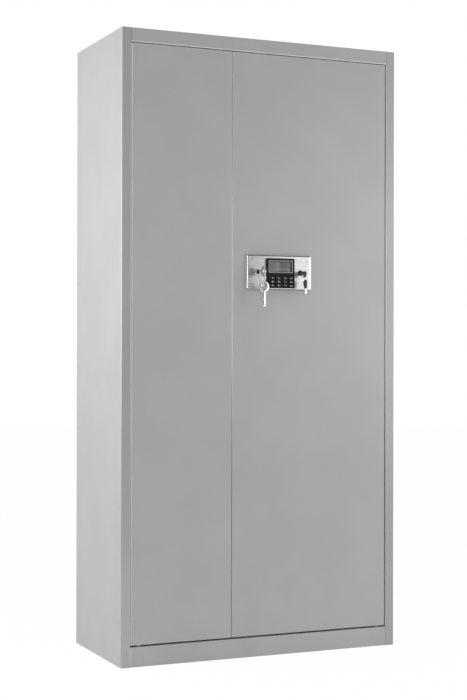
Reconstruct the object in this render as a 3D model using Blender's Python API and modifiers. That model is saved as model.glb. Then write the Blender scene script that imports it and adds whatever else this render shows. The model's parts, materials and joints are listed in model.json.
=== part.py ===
"""Steel storage cabinet: a folded-sheet carcass with shelves, a narrow and a wide door,
an electronic lock panel with two keyed locks, and a cam that drives two rods and a side bolt.

Metres, +Z up, the front faces -Y. The origin is on the floor, under the middle of the
whole thing with its keys in their locks. Seen from the front, +X is to the right.
"""
import math

import bmesh
import bpy
from mathutils import Matrix, Vector

# Carcass
width = 0.900
depth = 0.420
height = 1.850
jamb_width = 0.029
jamb_return = 0.024
jamb_lip = 0.012
rear_flange = 0.018
rail_height = 0.040
rail_return = 0.032
rail_lip = 0.008
plinth_height = 0.058
plinth_ledge = 0.040
plinth_foot = 0.020
top_skirt = 0.020
deck_skirt = 0.025
back_skirt = 0.015

# Sheet metal and clearances
sheet = 0.0010
bend = 0.0018
seam = 0.0003
running = 0.0005
overrun = 0.0040

# Shelves and what carries them
shelf_count = 3
shelf_skirt = 0.025
shelf_lip = 0.010
shelf_set_back = 0.052
shelf_rear_gap = 0.006
shelf_side_gap = 0.0006
ladder_width = 0.020
ladder_depth = 0.008
ladder_front = 0.085
ladder_rear = 0.050
ladder_tie_height = 0.025
ladder_tie_margin = 0.010
ladder_foot_gap = 0.010
slot_pitch = 0.075
slot_height = 0.012
slot_width = 0.004
slot_margin = 0.0353
bracket_rise = 0.020
bracket_tread = 0.014
bracket_overhang = 0.012
hook_reach = 0.004

# Doors
door_recess = 0.0010
door_depth = 0.022
door_lip = 0.012
door_side_gap = 0.0030
door_top_gap = 0.0030
door_bottom_gap = 0.0045
meeting_gap = 0.0015
meeting_from_left = 0.3483
pivot_inset = 0.025
pin_radius = 0.0040
pin_reach = 0.010
collar_radius = 0.0080
pin_head_height = 0.0020
stiffener_width = 0.050
stiffener_foot = 0.014
stiffener_rise = 0.015
stiffener_margin = 0.035
wide_stiffener_inset = 0.130

# Lock plate and keypad
plate_width = 0.2159
plate_height = 0.102
plate_depth = 0.0090
plate_wall = 0.0012
plate_edge = 0.0032
plate_from_meeting = 0.0419
plate_centre_height = 1.1515
pad_width = 0.0900
pad_height = 0.0890
pad_depth = 0.0095
pad_drop = 0.0020
pad_offset = 0.0031
pad_wall = 0.0018
pad_edge = 0.0028
window_width = 0.0775
window_offset = 0.0019
window_height = 0.0355
window_thickness = 0.0012
window_margin = 0.0060
window_ledge = 0.0030
button_columns = 4
button_pitch_x = 0.0208
button_pitch_z = 0.0115
button_width = 0.0165
button_height = 0.0068
button_proud = 0.0014
button_flange = 0.0006
button_flange_thickness = 0.0012
button_travel = 0.0010
button_row_margin = 0.0064
button_edge = 0.0006
board_thickness = 0.0016
board_gap = 0.0014
board_side_gap = 0.0006
wire_hole_width = 0.050
wire_hole_height = 0.040

# Locks and keys
lock_spacing = 0.1412
barrel_flange_thickness = 0.0015
barrel_tail_gap = 0.0010
main_barrel_radius = 0.0080
main_barrel_proud = 0.0036
main_flange_radius = 0.0098
main_plug_radius = 0.0055
bow_radius = 0.0155
bow_hole_radius = 0.0070
bow_hole_rise = 0.0045
bow_thickness = 0.0024
blade_width = 0.0086
blade_thickness = 0.0020
blade_length = 0.040
blade_tip_depth = 0.0068
bit_depth = 0.0013
bit_width = 0.0030
bit_count = 4
ring_radius = 0.0145
ring_wire = 0.0009
main_ring_turn = math.radians(45)
emergency_spare_turn = math.radians(-90)
hang_gap = 0.0005
emergency_barrel_radius = 0.0062
emergency_barrel_proud = 0.0056
emergency_flange_radius = 0.0085
emergency_plug_radius = 0.0046
head_length = 0.029
head_width = 0.017
head_thickness = 0.0045
head_edge = 0.0012
head_hole_radius = 0.0026
head_hole_inset = 0.0050
head_hole_offset = 0.0035
straight_side_share = 0.65
full_side_share = 1.35
head_lean_share = 0.35
tube_radius = 0.0032
tube_length = 0.012
tube_inserted = 0.007
emergency_ring_radius = 0.0100
emergency_ring_wire = 0.0008

# Lock works behind the door sheet, as layers counted inwards from the door's outer face
cam_layer = (0.0080, 0.0102)
lower_plate_layer = (0.0110, 0.0130)
bolt_layer = (0.0135, 0.0160)
upper_plate_layer = (0.0165, 0.0185)
rod_line = 0.0147
pin_tip = 0.0002
cam_radius = 0.0155
crank_radius = 0.0120
crank_pin_radius = 0.0020
slot_clearance = 0.0008
yoke_wall = 0.0030
rod_radius = 0.0035
rod_offset = 0.0060
rod_start = 0.034
rod_overlap = 0.016
upper_tip_gap = 0.0015
lower_tip_gap = 0.0012
bolt_height = 0.013
bolt_edge_gap = 0.0010
notch_width = 0.0046
notch_depth = 0.0040
plunger_radius = 0.0016
plunger_tip_gap = 0.0008
plunger_travel = 0.0040
plunger_inside = 0.010
solenoid_length = 0.028
solenoid_side = 0.014
solenoid_gap = 0.0040
tail_length = 0.022
tail_width = 0.009
case_margin_x = 0.008
case_margin_z = 0.012
case_depth = 0.033
guide_width = 0.020
guide_height = 0.014
guide_wall = 0.0030
guide_inset = 0.110

# Roundness
fine_sides = 24
small_sides = 16
wire_sides = 6

# Planes and lines worked out from the sizes above
key_reach = blade_length + 2 * bow_radius - blade_tip_depth - door_recess
front = (key_reach - depth) / 2
back = front + depth
side = width / 2
door_face = front + door_recess
door_inner = door_face + sheet
door_back = door_face + door_depth
door_low = plinth_height + door_bottom_gap
door_high = height - rail_height - door_top_gap
door_side = side - jamb_width - door_side_gap
meeting_x = meeting_from_left - side
narrow_edge = meeting_x - meeting_gap / 2
wide_edge = meeting_x + meeting_gap / 2
pivot_x = door_side - pivot_inset
pivot_y = door_face + door_depth / 2
plate_low_x = wide_edge + plate_from_meeting
plate_centre_x = plate_low_x + plate_width / 2
plate_face = door_face - seam - plate_depth
pad_front = plate_face - seam - pad_depth
lock_z = plate_centre_height
main_x = plate_centre_x - lock_spacing / 2
emergency_x = plate_centre_x + lock_spacing / 2
cam_sweep = math.radians(90)
travel = 2 * crank_radius * math.sin(cam_sweep / 2)

for leftover in list(bpy.data.objects):
    bpy.data.objects.remove(leftover)

parts = bpy.data.collections.new("storage_cabinet")
cutters = bpy.data.collections.new("cutters")
for group in (parts, cutters):
    bpy.context.scene.collection.children.link(group)

# Colour, roughness and metallic value of each finish
finishes = {
    "grey_paint": ((0.36, 0.36, 0.365, 1.0), 0.42, 0.0),
    "zinc_plated": ((0.62, 0.62, 0.60, 1.0), 0.38, 1.0),
    "brushed_stainless": ((0.70, 0.70, 0.70, 1.0), 0.25, 1.0),
    "black_plastic": ((0.012, 0.012, 0.013, 1.0), 0.40, 0.0),
    "smoked_window": ((0.16, 0.17, 0.17, 1.0), 0.10, 0.0),
    "chrome": ((0.80, 0.80, 0.80, 1.0), 0.10, 1.0),
    "nickel": ((0.72, 0.71, 0.68, 1.0), 0.22, 1.0),
    "dark_metal": ((0.05, 0.05, 0.05, 1.0), 0.35, 0.6),
    "green_board": ((0.02, 0.12, 0.05, 1.0), 0.50, 0.0),
}


def coat(obj, finish):
    """Give the object its own material."""
    colour, roughness, metallic = finishes[finish]
    material = bpy.data.materials.new(obj.name + "_" + finish)
    material.use_nodes = True
    shader = material.node_tree.nodes["Principled BSDF"]
    shader.inputs["Base Color"].default_value = colour
    shader.inputs["Roughness"].default_value = roughness
    shader.inputs["Metallic"].default_value = metallic
    obj.data.materials.clear()
    obj.data.materials.append(material)


def place(name, bm, finish):
    """Turn a bmesh into a part, or into a cutter where it has no finish."""
    mesh = bpy.data.meshes.new(name)
    bm.to_mesh(mesh)
    bm.free()
    obj = bpy.data.objects.new(name, mesh)
    if finish is None:
        cutters.objects.link(obj)
        obj.display_type = "WIRE"
        obj.hide_render = True
    else:
        parts.objects.link(obj)
        coat(obj, finish)
    return obj


def add_block(bm, low, high):
    """A box between two corners."""
    size = [top - bottom for bottom, top in zip(low, high)]
    middle = [(top + bottom) / 2 for bottom, top in zip(low, high)]
    scale = Matrix.Diagonal((*size, 1))
    bmesh.ops.create_cube(bm, size=1, matrix=Matrix.Translation(middle) @ scale)


def add_drum(bm, start, end, radius, sides=fine_sides):
    """A cylinder from one point to another."""
    start, end = Vector(start), Vector(end)
    along = end - start
    turn = Vector((0, 0, 1)).rotation_difference(along).to_matrix().to_4x4()
    bmesh.ops.create_cone(bm, cap_ends=True, segments=sides, radius1=radius, radius2=radius,
                          depth=along.length, matrix=Matrix.Translation((start + end) / 2) @ turn)


def block(name, low, high, finish=None, edge=0):
    bm = bmesh.new()
    add_block(bm, low, high)
    obj = place(name, bm, finish)
    if edge:
        round_edges(obj, edge, 1)
    return obj


def drum(name, start, end, radius, finish=None, sides=fine_sides):
    bm = bmesh.new()
    add_drum(bm, start, end, radius, sides)
    obj = place(name, bm, finish)
    obj.data.shade_smooth()
    obj.data.set_sharp_from_angle(angle=math.radians(40))
    return obj


def round_edges(obj, radius, segments):
    modifier = obj.modifiers.new("round_edges", "BEVEL")
    modifier.width = radius
    modifier.segments = segments
    modifier.limit_method = "ANGLE"
    modifier.angle_limit = math.radians(35)


def thicken(obj, thickness):
    """Give an open sheet its thickness, on the inner side."""
    modifier = obj.modifiers.new("sheet_thickness", "SOLIDIFY")
    modifier.thickness = thickness
    modifier.offset = -1
    modifier.use_even_offset = True


def cut(obj, cutter):
    modifier = obj.modifiers.new("cut_" + cutter.name, "BOOLEAN")
    modifier.operation = "DIFFERENCE"
    modifier.solver = "EXACT"
    modifier.object = cutter


def join(obj, other):
    modifier = obj.modifiers.new("join_" + other.name, "BOOLEAN")
    modifier.operation = "UNION"
    modifier.solver = "EXACT"
    modifier.object = other


def settle(obj):
    """Apply the modifiers, so that the finished shape can be turned and shared."""
    bpy.context.view_layer.update()
    graph = bpy.context.evaluated_depsgraph_get()
    mesh = bpy.data.meshes.new_from_object(obj.evaluated_get(graph))
    obj.modifiers.clear()
    obj.data = mesh


def folded(name, path, run, start, end, finish, bend_radius=bend):
    """A folded strip of sheet: an open outline of its outer face, drawn out along one axis.

    run is the axis it is drawn along, and the path holds the other two coordinates in
    the order X, Y, Z. The outer face is on the left of the path, seen with the first
    coordinate to the right and the second one up.
    """
    axes = [axis for axis in range(3) if axis != run]

    def corner(point, level):
        place_in_space = [0, 0, 0]
        place_in_space[run] = level
        for axis, value in zip(axes, point):
            place_in_space[axis] = value
        return place_in_space

    bm = bmesh.new()
    verts = [bm.verts.new(corner(point, start)) for point in path]
    edges = [bm.edges.new(pair) for pair in zip(verts, verts[1:])]
    drawn = bmesh.ops.extrude_edge_only(bm, edges=edges)["geom"]
    step = Vector(corner((0, 0), end - start))
    bmesh.ops.translate(bm, vec=step, verts=[v for v in drawn if isinstance(v, bmesh.types.BMVert)])
    bmesh.ops.recalc_face_normals(bm, faces=bm.faces)
    first = min(bm.faces, key=lambda face: (face.calc_center_median() - (
        (verts[0].co + verts[1].co + step) / 2)).length)
    du, dv = (b - a for a, b in zip(path[0], path[1]))
    outward = Vector(corner((-dv, du), 0))
    if first.normal.dot(outward) < 0:
        bmesh.ops.reverse_faces(bm, faces=bm.faces)
    obj = place(name, bm, finish)
    if bend_radius:
        round_edges(obj, bend_radius, 2)
    thicken(obj, sheet)
    return obj


def pan(name, low, high, open_axis, open_end, lip, finish, wall=sheet, bend_radius=bend):
    """A tray folded from one sheet: a box open at one end of an axis, with lips round the mouth."""
    bm = bmesh.new()
    add_block(bm, low, high)
    facing = Vector((0, 0, 0))
    facing[open_axis] = open_end
    mouth = max(bm.faces, key=lambda face: face.normal.dot(facing))
    if lip:
        bmesh.ops.inset_region(bm, faces=[mouth], thickness=lip, use_even_offset=True)
    bmesh.ops.delete(bm, geom=[mouth], context="FACES_ONLY" if lip else "FACES")
    obj = place(name, bm, finish)
    if bend_radius:
        round_edges(obj, bend_radius, 2)
    thicken(obj, wall)
    return obj


def turned(name, profile, base, direction, finish, sides=fine_sides):
    """A turned piece: radii and heights down its outer side, spun about an axis through base."""
    bm = bmesh.new()
    verts = [bm.verts.new((radius, 0, level)) for radius, level in profile]
    for pair in zip(verts, verts[1:]):
        bm.edges.new(pair)
    if profile[0][0] > 0:
        bm.edges.new((verts[-1], verts[0]))
    obj = place(name, bm, finish)
    screw = obj.modifiers.new("turn", "SCREW")
    screw.angle = math.radians(360)
    screw.steps = sides
    screw.render_steps = sides
    screw.use_merge_vertices = True
    screw.merge_threshold = 0.00001
    obj.location = base
    obj.rotation_mode = "QUATERNION"
    obj.rotation_quaternion = Vector((0, 0, 1)).rotation_difference(Vector(direction))
    return obj


def wire_ring(name, middle, radius, wire, turn, finish):
    """A ring of round wire standing upright, turned about the vertical."""
    bpy.ops.mesh.primitive_torus_add(major_radius=radius, minor_radius=wire,
                                     major_segments=fine_sides, minor_segments=wire_sides)
    obj = bpy.context.object
    obj.name = name
    for holder in list(obj.users_collection):
        holder.objects.unlink(obj)
    parts.objects.link(obj)
    upright = Matrix.Rotation(math.radians(90), 4, "X")
    obj.data.transform(Matrix.Translation(middle) @ Matrix.Rotation(turn, 4, "Z") @ upright)
    obj.data.shade_smooth()
    coat(obj, finish)
    return obj


def joint(name, position, parent=None):
    """An empty on a joint's axis, which carries the pieces that move with it."""
    empty = bpy.data.objects.new(name, None)
    bpy.context.scene.collection.objects.link(empty)
    empty["at"] = position
    empty.location = Vector(position) - (Vector(parent["at"]) if parent else Vector())
    empty.parent = parent
    return empty


def carry(empty, *pieces):
    for piece in pieces:
        piece.location = piece.location - Vector(empty["at"])
        piece.parent = empty


# Carcass


def side_panel(name, sign):
    """Side sheet folded round into the jamb in front and a flange behind, notched for the top."""
    outer, jamb = sign * side, sign * (side - jamb_width)
    path = [
        (sign * (side - rear_flange), back),
        (outer, back),
        (outer, front),
        (jamb, front),
        (jamb, front + jamb_return),
        (jamb + sign * jamb_lip, front + jamb_return),
    ]
    if sign < 0:
        path.reverse()
    panel = folded(name, path, 2, 0, height, "grey_paint")
    inner = outer - sign * (sheet + seam)
    beyond = jamb - sign * overrun
    low = (min(inner, beyond), front + sheet + seam, height - top_skirt - seam)
    high = (max(inner, beyond), front + jamb_return + overrun, height + overrun)
    cut(panel, block(name + "_notch", low, high))
    return panel


side_left = side_panel("side_left", -1)
side_right = side_panel("side_right", 1)

liner_side = side - sheet - seam
liner_front = front + sheet + seam
liner_back = back - sheet - seam

top_panel = pan("top_panel", (-liner_side, liner_front, height - top_skirt),
                (liner_side, liner_back, height), 2, -1, 0, "grey_paint")

back_panel = pan("back_panel", (-liner_side, liner_back - back_skirt, 0),
                 (liner_side, liner_back, height - top_skirt - seam), 1, -1, 0, "grey_paint")

opening_side = side - jamb_width - seam
top_rail = folded("top_rail", [
    (front, height),
    (front, height - rail_height),
    (front + rail_return, height - rail_height),
    (front + rail_return, height - rail_height + rail_lip),
][::-1], 0, -opening_side, opening_side, "grey_paint")

plinth = folded("plinth", [
    (front + plinth_foot, 0),
    (front, 0),
    (front, plinth_height),
    (front + plinth_ledge, plinth_height),
    (front + plinth_ledge, plinth_height - rail_lip),
], 0, -opening_side, opening_side, "grey_paint")

deck_front = front + jamb_return + seam
deck_top = plinth_height + seam + sheet
deck_back = liner_back - sheet - seam
bottom_deck = folded("bottom_deck", [
    (-liner_side, deck_top - deck_skirt),
    (-liner_side, deck_top),
    (liner_side, deck_top),
    (liner_side, deck_top - deck_skirt),
], 1, deck_front, deck_back, "grey_paint")
deck_notch_side = liner_side - sheet - bend
for sign, label in ((-1, "left"), (1, "right")):
    inner, outer = sign * deck_notch_side, sign * (side + overrun)
    low = (min(inner, outer), liner_back - back_skirt - seam, deck_top - deck_skirt - overrun)
    high = (max(inner, outer), back + overrun, deck_top + overrun)
    cut(bottom_deck, block("deck_notch_" + label, low, high))

# Ladders and shelves

ladder_low = deck_top + ladder_foot_gap
ladder_high = height - top_skirt - seam
ladder_face = liner_side - ladder_depth
front_post_y = front + ladder_front
rear_post_y = back - ladder_rear
slot_count = int((ladder_high - ladder_low - 2 * slot_margin) / slot_pitch)


def slot_level(index):
    return ladder_low + slot_margin + index * slot_pitch


def ladder(name, sign):
    """Two slotted posts tied across at the foot and the head, welded to the side sheet."""
    wall, face = sign * liner_side, sign * ladder_face

    def post(post_name, middle, finish):
        path = [
            (wall, middle - ladder_width / 2),
            (face, middle - ladder_width / 2),
            (face, middle + ladder_width / 2),
            (wall, middle + ladder_width / 2),
        ]
        if sign > 0:
            path.reverse()
        return folded(post_name, path[::-1], 2, ladder_low, ladder_high, finish, 0)

    frame = post(name, front_post_y, "grey_paint")
    join(frame, post(name + "_rear_post", rear_post_y, None))
    tie_outer, tie_inner = wall - sign * seam, wall - sign * (seam + sheet)
    for level, end in ((ladder_low + ladder_tie_margin, "foot"),
                       (ladder_high - ladder_tie_margin - ladder_tie_height, "head")):
        low = (min(tie_outer, tie_inner), front_post_y + ladder_width / 2 - sheet / 2, level)
        high = (max(tie_outer, tie_inner), rear_post_y - ladder_width / 2 + sheet / 2,
                level + ladder_tie_height)
        join(frame, block(name + "_tie_" + end, low, high))
    bm = bmesh.new()
    for middle in (front_post_y, rear_post_y):
        for index in range(slot_count):
            inner, outer = face - sign * overrun, face + sign * (sheet + seam)
            add_block(bm, (min(inner, outer), middle - slot_width / 2, slot_level(index)),
                      (max(inner, outer), middle + slot_width / 2, slot_level(index) + slot_height))
    cut(frame, place(name + "_slots", bm, None))
    return frame


ladder_left = ladder("shelf_ladder_left", -1)
ladder_right = ladder("shelf_ladder_right", 1)

shelf_front = front + shelf_set_back
shelf_back = liner_back - back_skirt - shelf_rear_gap
bracket_face = ladder_face - seam


def bracket(name, sign, index):
    """Angle strip that hooks into a slot of each post and carries one end of a shelf."""
    upright, level = sign * bracket_face, slot_level(index)
    path = [
        (upright, level + bracket_rise),
        (upright, level),
        (upright - sign * bracket_tread, level),
    ]
    if sign > 0:
        path.reverse()
    strip = folded(name, path[::-1], 1, front_post_y - bracket_overhang,
                   rear_post_y + bracket_overhang, "zinc_plated", 0)
    for middle, label in ((front_post_y, "front"), (rear_post_y, "rear")):
        inner, outer = upright - sign * sheet / 2, upright + sign * hook_reach
        low = (min(inner, outer), middle - slot_width / 2 + running, level + running)
        high = (max(inner, outer), middle + slot_width / 2 - running,
                level + slot_height - running)
        join(strip, block(name + "_hook_" + label, low, high))
    return strip


def shelf(name, index):
    """Tray-shaped shelf that rests on a pair of brackets."""
    half = bracket_face - sheet - shelf_side_gap
    rest = slot_level(index) + sheet + seam
    return pan(name, (-half, shelf_front, rest), (half, shelf_back, rest + shelf_skirt),
               2, -1, shelf_lip, "grey_paint")


for number in range(1, shelf_count + 1):
    slot = round(slot_count * number / (shelf_count + 1)) - 1
    shelf("shelf_%d" % number, slot)
    bracket("shelf_bracket_%d_left" % number, -1, slot)
    bracket("shelf_bracket_%d_right" % number, 1, slot)

# Door pivots: a collared pin under each door and a headed pin over it

pin_hole = pin_radius + running
collar_low = plinth_height + seam
collar_high = door_low - seam
head_low = height - rail_height + sheet + seam


def pivots(label, x):
    turned("pivot_lower_" + label, [
        (0, door_low + pin_reach),
        (pin_radius, door_low + pin_reach),
        (pin_radius, collar_high),
        (collar_radius, collar_high),
        (collar_radius, collar_low),
        (pin_radius, collar_low),
        (pin_radius, plinth_height - pin_reach),
        (0, plinth_height - pin_reach),
    ], (x, pivot_y, 0), (0, 0, 1), "zinc_plated", small_sides)
    turned("pivot_upper_" + label, [
        (0, head_low + pin_head_height),
        (collar_radius, head_low + pin_head_height),
        (collar_radius, head_low),
        (pin_radius, head_low),
        (pin_radius, door_high - pin_reach),
        (0, door_high - pin_reach),
    ], (x, pivot_y, 0), (0, 0, 1), "zinc_plated", small_sides)


pivots("left", -pivot_x)
pivots("right", pivot_x)
for label, x in (("left", -pivot_x), ("right", pivot_x)):
    cut(top_rail, drum("rail_pin_hole_" + label, (x, pivot_y, height - rail_height - overrun),
                       (x, pivot_y, height - rail_height + overrun), pin_hole, None, small_sides))
    cut(plinth, drum("plinth_pin_hole_" + label, (x, pivot_y, plinth_height - overrun),
                     (x, pivot_y, plinth_height + overrun), pin_hole, None, small_sides))

# Doors

narrow_joint = joint("narrow_door_joint", (-pivot_x, pivot_y, 0))
wide_joint = joint("wide_door_joint", (pivot_x, pivot_y, 0))


def door_leaf(name, low_x, high_x, pin_x):
    leaf = pan(name, (low_x, door_face, door_low), (high_x, door_back, door_high),
               1, 1, door_lip, "grey_paint")
    for level, label in ((door_low, "lower"), (door_high, "upper")):
        cut(leaf, drum(name + "_hole_" + label, (pin_x, pivot_y, level - overrun),
                       (pin_x, pivot_y, level + overrun), pin_hole, None, small_sides))
    return leaf


def stiffener(name, middle):
    """Hat-shaped channel, spot welded inside a door by its two feet."""
    half, foot = stiffener_width / 2, stiffener_width / 2 + stiffener_foot
    seat = door_inner + seam
    crown = seat + stiffener_rise
    return folded(name, [
        (middle - foot, seat + sheet),
        (middle - half, seat + sheet),
        (middle - half, crown),
        (middle + half, crown),
        (middle + half, seat + sheet),
        (middle + foot, seat + sheet),
    ], 2, door_low + stiffener_margin, door_high - stiffener_margin, "grey_paint", 0)


narrow_panel = door_leaf("narrow_door_panel", -door_side, narrow_edge, -pivot_x)
wide_panel = door_leaf("wide_door_panel", wide_edge, door_side, pivot_x)
narrow_stiffener = stiffener("narrow_door_stiffener", (narrow_edge - door_side) / 2)
wide_stiffener = stiffener("wide_door_stiffener", door_side - wide_stiffener_inset)
carry(narrow_joint, narrow_panel, narrow_stiffener)
carry(wide_joint, wide_panel, wide_stiffener)

# Lock plate: a shallow tray with its open side to the door

lock_plate = pan("lock_plate", (plate_low_x, plate_face, lock_z - plate_height / 2),
                 (plate_low_x + plate_width, door_face - seam, lock_z + plate_height / 2),
                 1, 1, 0, "brushed_stainless", wall=plate_wall, bend_radius=plate_edge)
wire_hole = block("wire_hole",
                  (plate_centre_x - wire_hole_width / 2, plate_face - overrun,
                   lock_z - wire_hole_height / 2),
                  (plate_centre_x + wire_hole_width / 2, door_inner + overrun,
                   lock_z + wire_hole_height / 2))
for sheet_piece in (lock_plate, wide_panel):
    cut(sheet_piece, wire_hole)

# Keypad: a shell with the window and twelve buttons in its face and the board behind them

pad_centre_x = plate_centre_x + pad_offset
pad_low_x = pad_centre_x - pad_width / 2
pad_high_x = pad_centre_x + pad_width / 2
pad_low_z = lock_z - pad_drop - pad_height / 2
pad_high_z = pad_low_z + pad_height
keypad = pan("keypad_housing", (pad_low_x, pad_front, pad_low_z),
             (pad_high_x, pad_front + pad_depth, pad_high_z), 1, 1, 0, "black_plastic",
             wall=pad_wall, bend_radius=pad_edge)
window_top = pad_high_z - window_margin
window_seat = pad_front + window_thickness
window_centre_x = plate_centre_x + window_offset
cut(keypad, block("window_recess",
                  (window_centre_x - window_width / 2 - seam, pad_front - overrun,
                   window_top - window_height - seam),
                  (window_centre_x + window_width / 2 + seam, window_seat + seam,
                   window_top + seam)))
cut(keypad, block("window_opening",
                  (window_centre_x - window_width / 2 + window_ledge, pad_front - overrun,
                   window_top - window_height + window_ledge),
                  (window_centre_x + window_width / 2 - window_ledge, pad_front + pad_wall + overrun,
                   window_top - window_ledge)))
window = block("display_window",
               (window_centre_x - window_width / 2, pad_front, window_top - window_height),
               (window_centre_x + window_width / 2, window_seat, window_top), "smoked_window")

button_names = [
    "button_1", "button_2", "button_3", "button_clear",
    "button_4", "button_5", "button_6", "button_0",
    "button_7", "button_8", "button_9", "button_enter",
]
button_rows = len(button_names) // button_columns
flange_front = pad_front + pad_wall + seam
flange_back = flange_front + button_flange_thickness
board_front = flange_back + board_gap
button_holes = bmesh.new()
buttons = []
for number, name in enumerate(button_names):
    row, column = divmod(number, button_columns)
    x = pad_centre_x + (column - (button_columns - 1) / 2) * button_pitch_x
    z = pad_low_z + button_row_margin + (button_rows - 1 - row) * button_pitch_z
    half_x, half_z = button_width / 2, button_height / 2
    add_block(button_holes,
              (x - half_x - running, pad_front - overrun, z - half_z - running),
              (x + half_x + running, pad_front + pad_wall + overrun, z + half_z + running))
    button = block(name, (x - half_x, pad_front - button_proud, z - half_z),
                   (x + half_x, flange_back - button_flange_thickness / 2, z + half_z),
                   "black_plastic", button_edge)
    join(button, block(name + "_flange",
                       (x - half_x - button_flange, flange_front, z - half_z - button_flange),
                       (x + half_x + button_flange, flange_back, z + half_z + button_flange)))
    axis = joint(name + "_joint", (x, pad_front, z), wide_joint)
    carry(axis, button)
    buttons.append(button)
cut(keypad, place("button_holes", button_holes, None))

board = block("circuit_board",
              (pad_low_x + pad_wall + board_side_gap, board_front,
               pad_low_z + pad_wall + board_side_gap),
              (pad_high_x - pad_wall - board_side_gap, board_front + board_thickness,
               pad_high_z - pad_wall - board_side_gap), "green_board")
carry(wide_joint, lock_plate, keypad, window, board)

# Lock barrels, plugs and cams

barrel_back = door_face + cam_layer[0] - barrel_tail_gap


def barrel(name, x, radius, flange_radius, plug_radius, proud, finish):
    """Fixed sleeve with a flange that clamps the plate from the front."""
    plug_hole = plug_radius + running
    nose = plate_face - proud
    length = barrel_back - nose
    flange_back_level = length - proud + seam
    flange_front_level = flange_back_level + barrel_flange_thickness
    piece = turned(name, [
        (radius, length),
        (radius, flange_front_level),
        (flange_radius, flange_front_level),
        (flange_radius, flange_back_level),
        (radius - running, flange_back_level),
        (radius - running, 0),
        (plug_hole, 0),
        (plug_hole, length),
    ], (x, barrel_back, lock_z), (0, -1, 0), finish)
    through = drum(name + "_hole", (x, plate_face - overrun, lock_z),
                   (x, door_inner + overrun, lock_z), radius)
    for sheet_piece in (lock_plate, wide_panel):
        cut(sheet_piece, through)
    return piece


cam_middle = (cam_layer[0] + cam_layer[1]) / 2


def plug(name, x, radius, proud):
    """The turning core, from the barrel's nose into its cam."""
    return drum(name, (x, plate_face - proud, lock_z), (x, door_face + cam_middle, lock_z),
                radius, "zinc_plated")


main_barrel = barrel("main_lock_barrel", main_x, main_barrel_radius, main_flange_radius,
                     main_plug_radius, main_barrel_proud, "chrome")
emergency_barrel = barrel("emergency_lock_barrel", emergency_x, emergency_barrel_radius,
                          emergency_flange_radius, emergency_plug_radius,
                          emergency_barrel_proud, "dark_metal")
carry(wide_joint, main_barrel, emergency_barrel)


def crank_point(angle):
    turn = math.radians(angle)
    return main_x + crank_radius * math.cos(turn), lock_z + crank_radius * math.sin(turn)


# Crank pins at rest, as angles seen from the front: the key turns them 90 degrees anticlockwise
upper_pin_angle, bolt_pin_angle, lower_pin_angle = -45, 45, 135

main_cam = plug("main_lock_cam", main_x, main_plug_radius, main_barrel_proud)
join(main_cam, drum("cam_disc", (main_x, door_face + cam_layer[0], lock_z),
                    (main_x, door_face + cam_layer[1], lock_z), cam_radius))
for angle, layer, label in ((upper_pin_angle, upper_plate_layer, "upper"),
                            (bolt_pin_angle, bolt_layer, "bolt"),
                            (lower_pin_angle, lower_plate_layer, "lower")):
    x, z = crank_point(angle)
    join(main_cam, drum("crank_pin_" + label, (x, door_face + cam_middle, z),
                        (x, door_face + layer[1] + pin_tip, z), crank_pin_radius, None, small_sides))
for turn in (0, -90):
    way = Vector((math.cos(math.radians(turn)), 0, math.sin(math.radians(turn))))
    across = Vector((abs(way.z), 0, abs(way.x))) * notch_width / 2
    inner = Vector((main_x, door_face, lock_z)) + way * (cam_radius - notch_depth)
    outer = inner + way * (notch_depth + overrun)
    corners = [inner - across, inner + across, outer - across, outer + across]
    low = (min(c.x for c in corners), door_face + cam_layer[0] - seam, min(c.z for c in corners))
    high = (max(c.x for c in corners), door_face + cam_layer[1] + seam, max(c.z for c in corners))
    cut(main_cam, block("cam_notch_%d" % abs(turn), low, high))
slot_mouth = plate_face - main_barrel_proud - overrun
cut(main_cam, block("key_slot",
                    (main_x - blade_thickness / 2 - running, slot_mouth,
                     lock_z - blade_width / 2 - running),
                    (main_x + blade_thickness / 2 + running,
                     door_face + cam_layer[1] + seam, lock_z + blade_width / 2 + running)))

emergency_cam = plug("emergency_lock_cam", emergency_x, emergency_plug_radius,
                     emergency_barrel_proud)
join(emergency_cam, block("emergency_tail",
                          (emergency_x - tail_width / 2, door_face + cam_layer[0],
                           lock_z - tail_length),
                          (emergency_x + tail_width / 2, door_face + cam_layer[1],
                           lock_z + tail_width / 2)))
tube_mouth = plate_face - emergency_barrel_proud
cut(emergency_cam, drum("tube_hole", (emergency_x, tube_mouth - overrun, lock_z),
                        (emergency_x, tube_mouth + tube_inserted + seam, lock_z),
                        tube_radius + seam))

# Keys, split rings and spare keys

blade_low = -bow_radius - blade_length
bow_eye = (0, bow_hole_rise)
head_eye = (-head_hole_offset, head_length / 2 - head_hole_inset)


def flat_key(name):
    """Flat key with a round pierced bow, hanging blade down, its bow centred on the origin."""
    key = drum(name, (0, -bow_thickness / 2, 0), (0, bow_thickness / 2, 0), bow_radius, "nickel")
    shank = block(name + "_shank", (-blade_width / 2, -blade_thickness / 2, blade_low),
                  (blade_width / 2, blade_thickness / 2, -bow_hole_radius))
    join(key, shank)
    x, z = bow_eye
    cut(key, drum(name + "_eye", (x, -bow_thickness, z), (x, bow_thickness, z), bow_hole_radius))
    bm = bmesh.new()
    for index in range(bit_count):
        level = blade_low + (2 * index + 1) * bit_width
        for sign in (-1, 1):
            edge, beyond = sign * (blade_width / 2 - bit_depth), sign * (blade_width / 2 + overrun)
            add_block(bm, (min(edge, beyond), -blade_thickness, level),
                      (max(edge, beyond), blade_thickness, level + bit_width))
    cut(key, place(name + "_bits", bm, None))
    settle(key)
    return key


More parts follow.
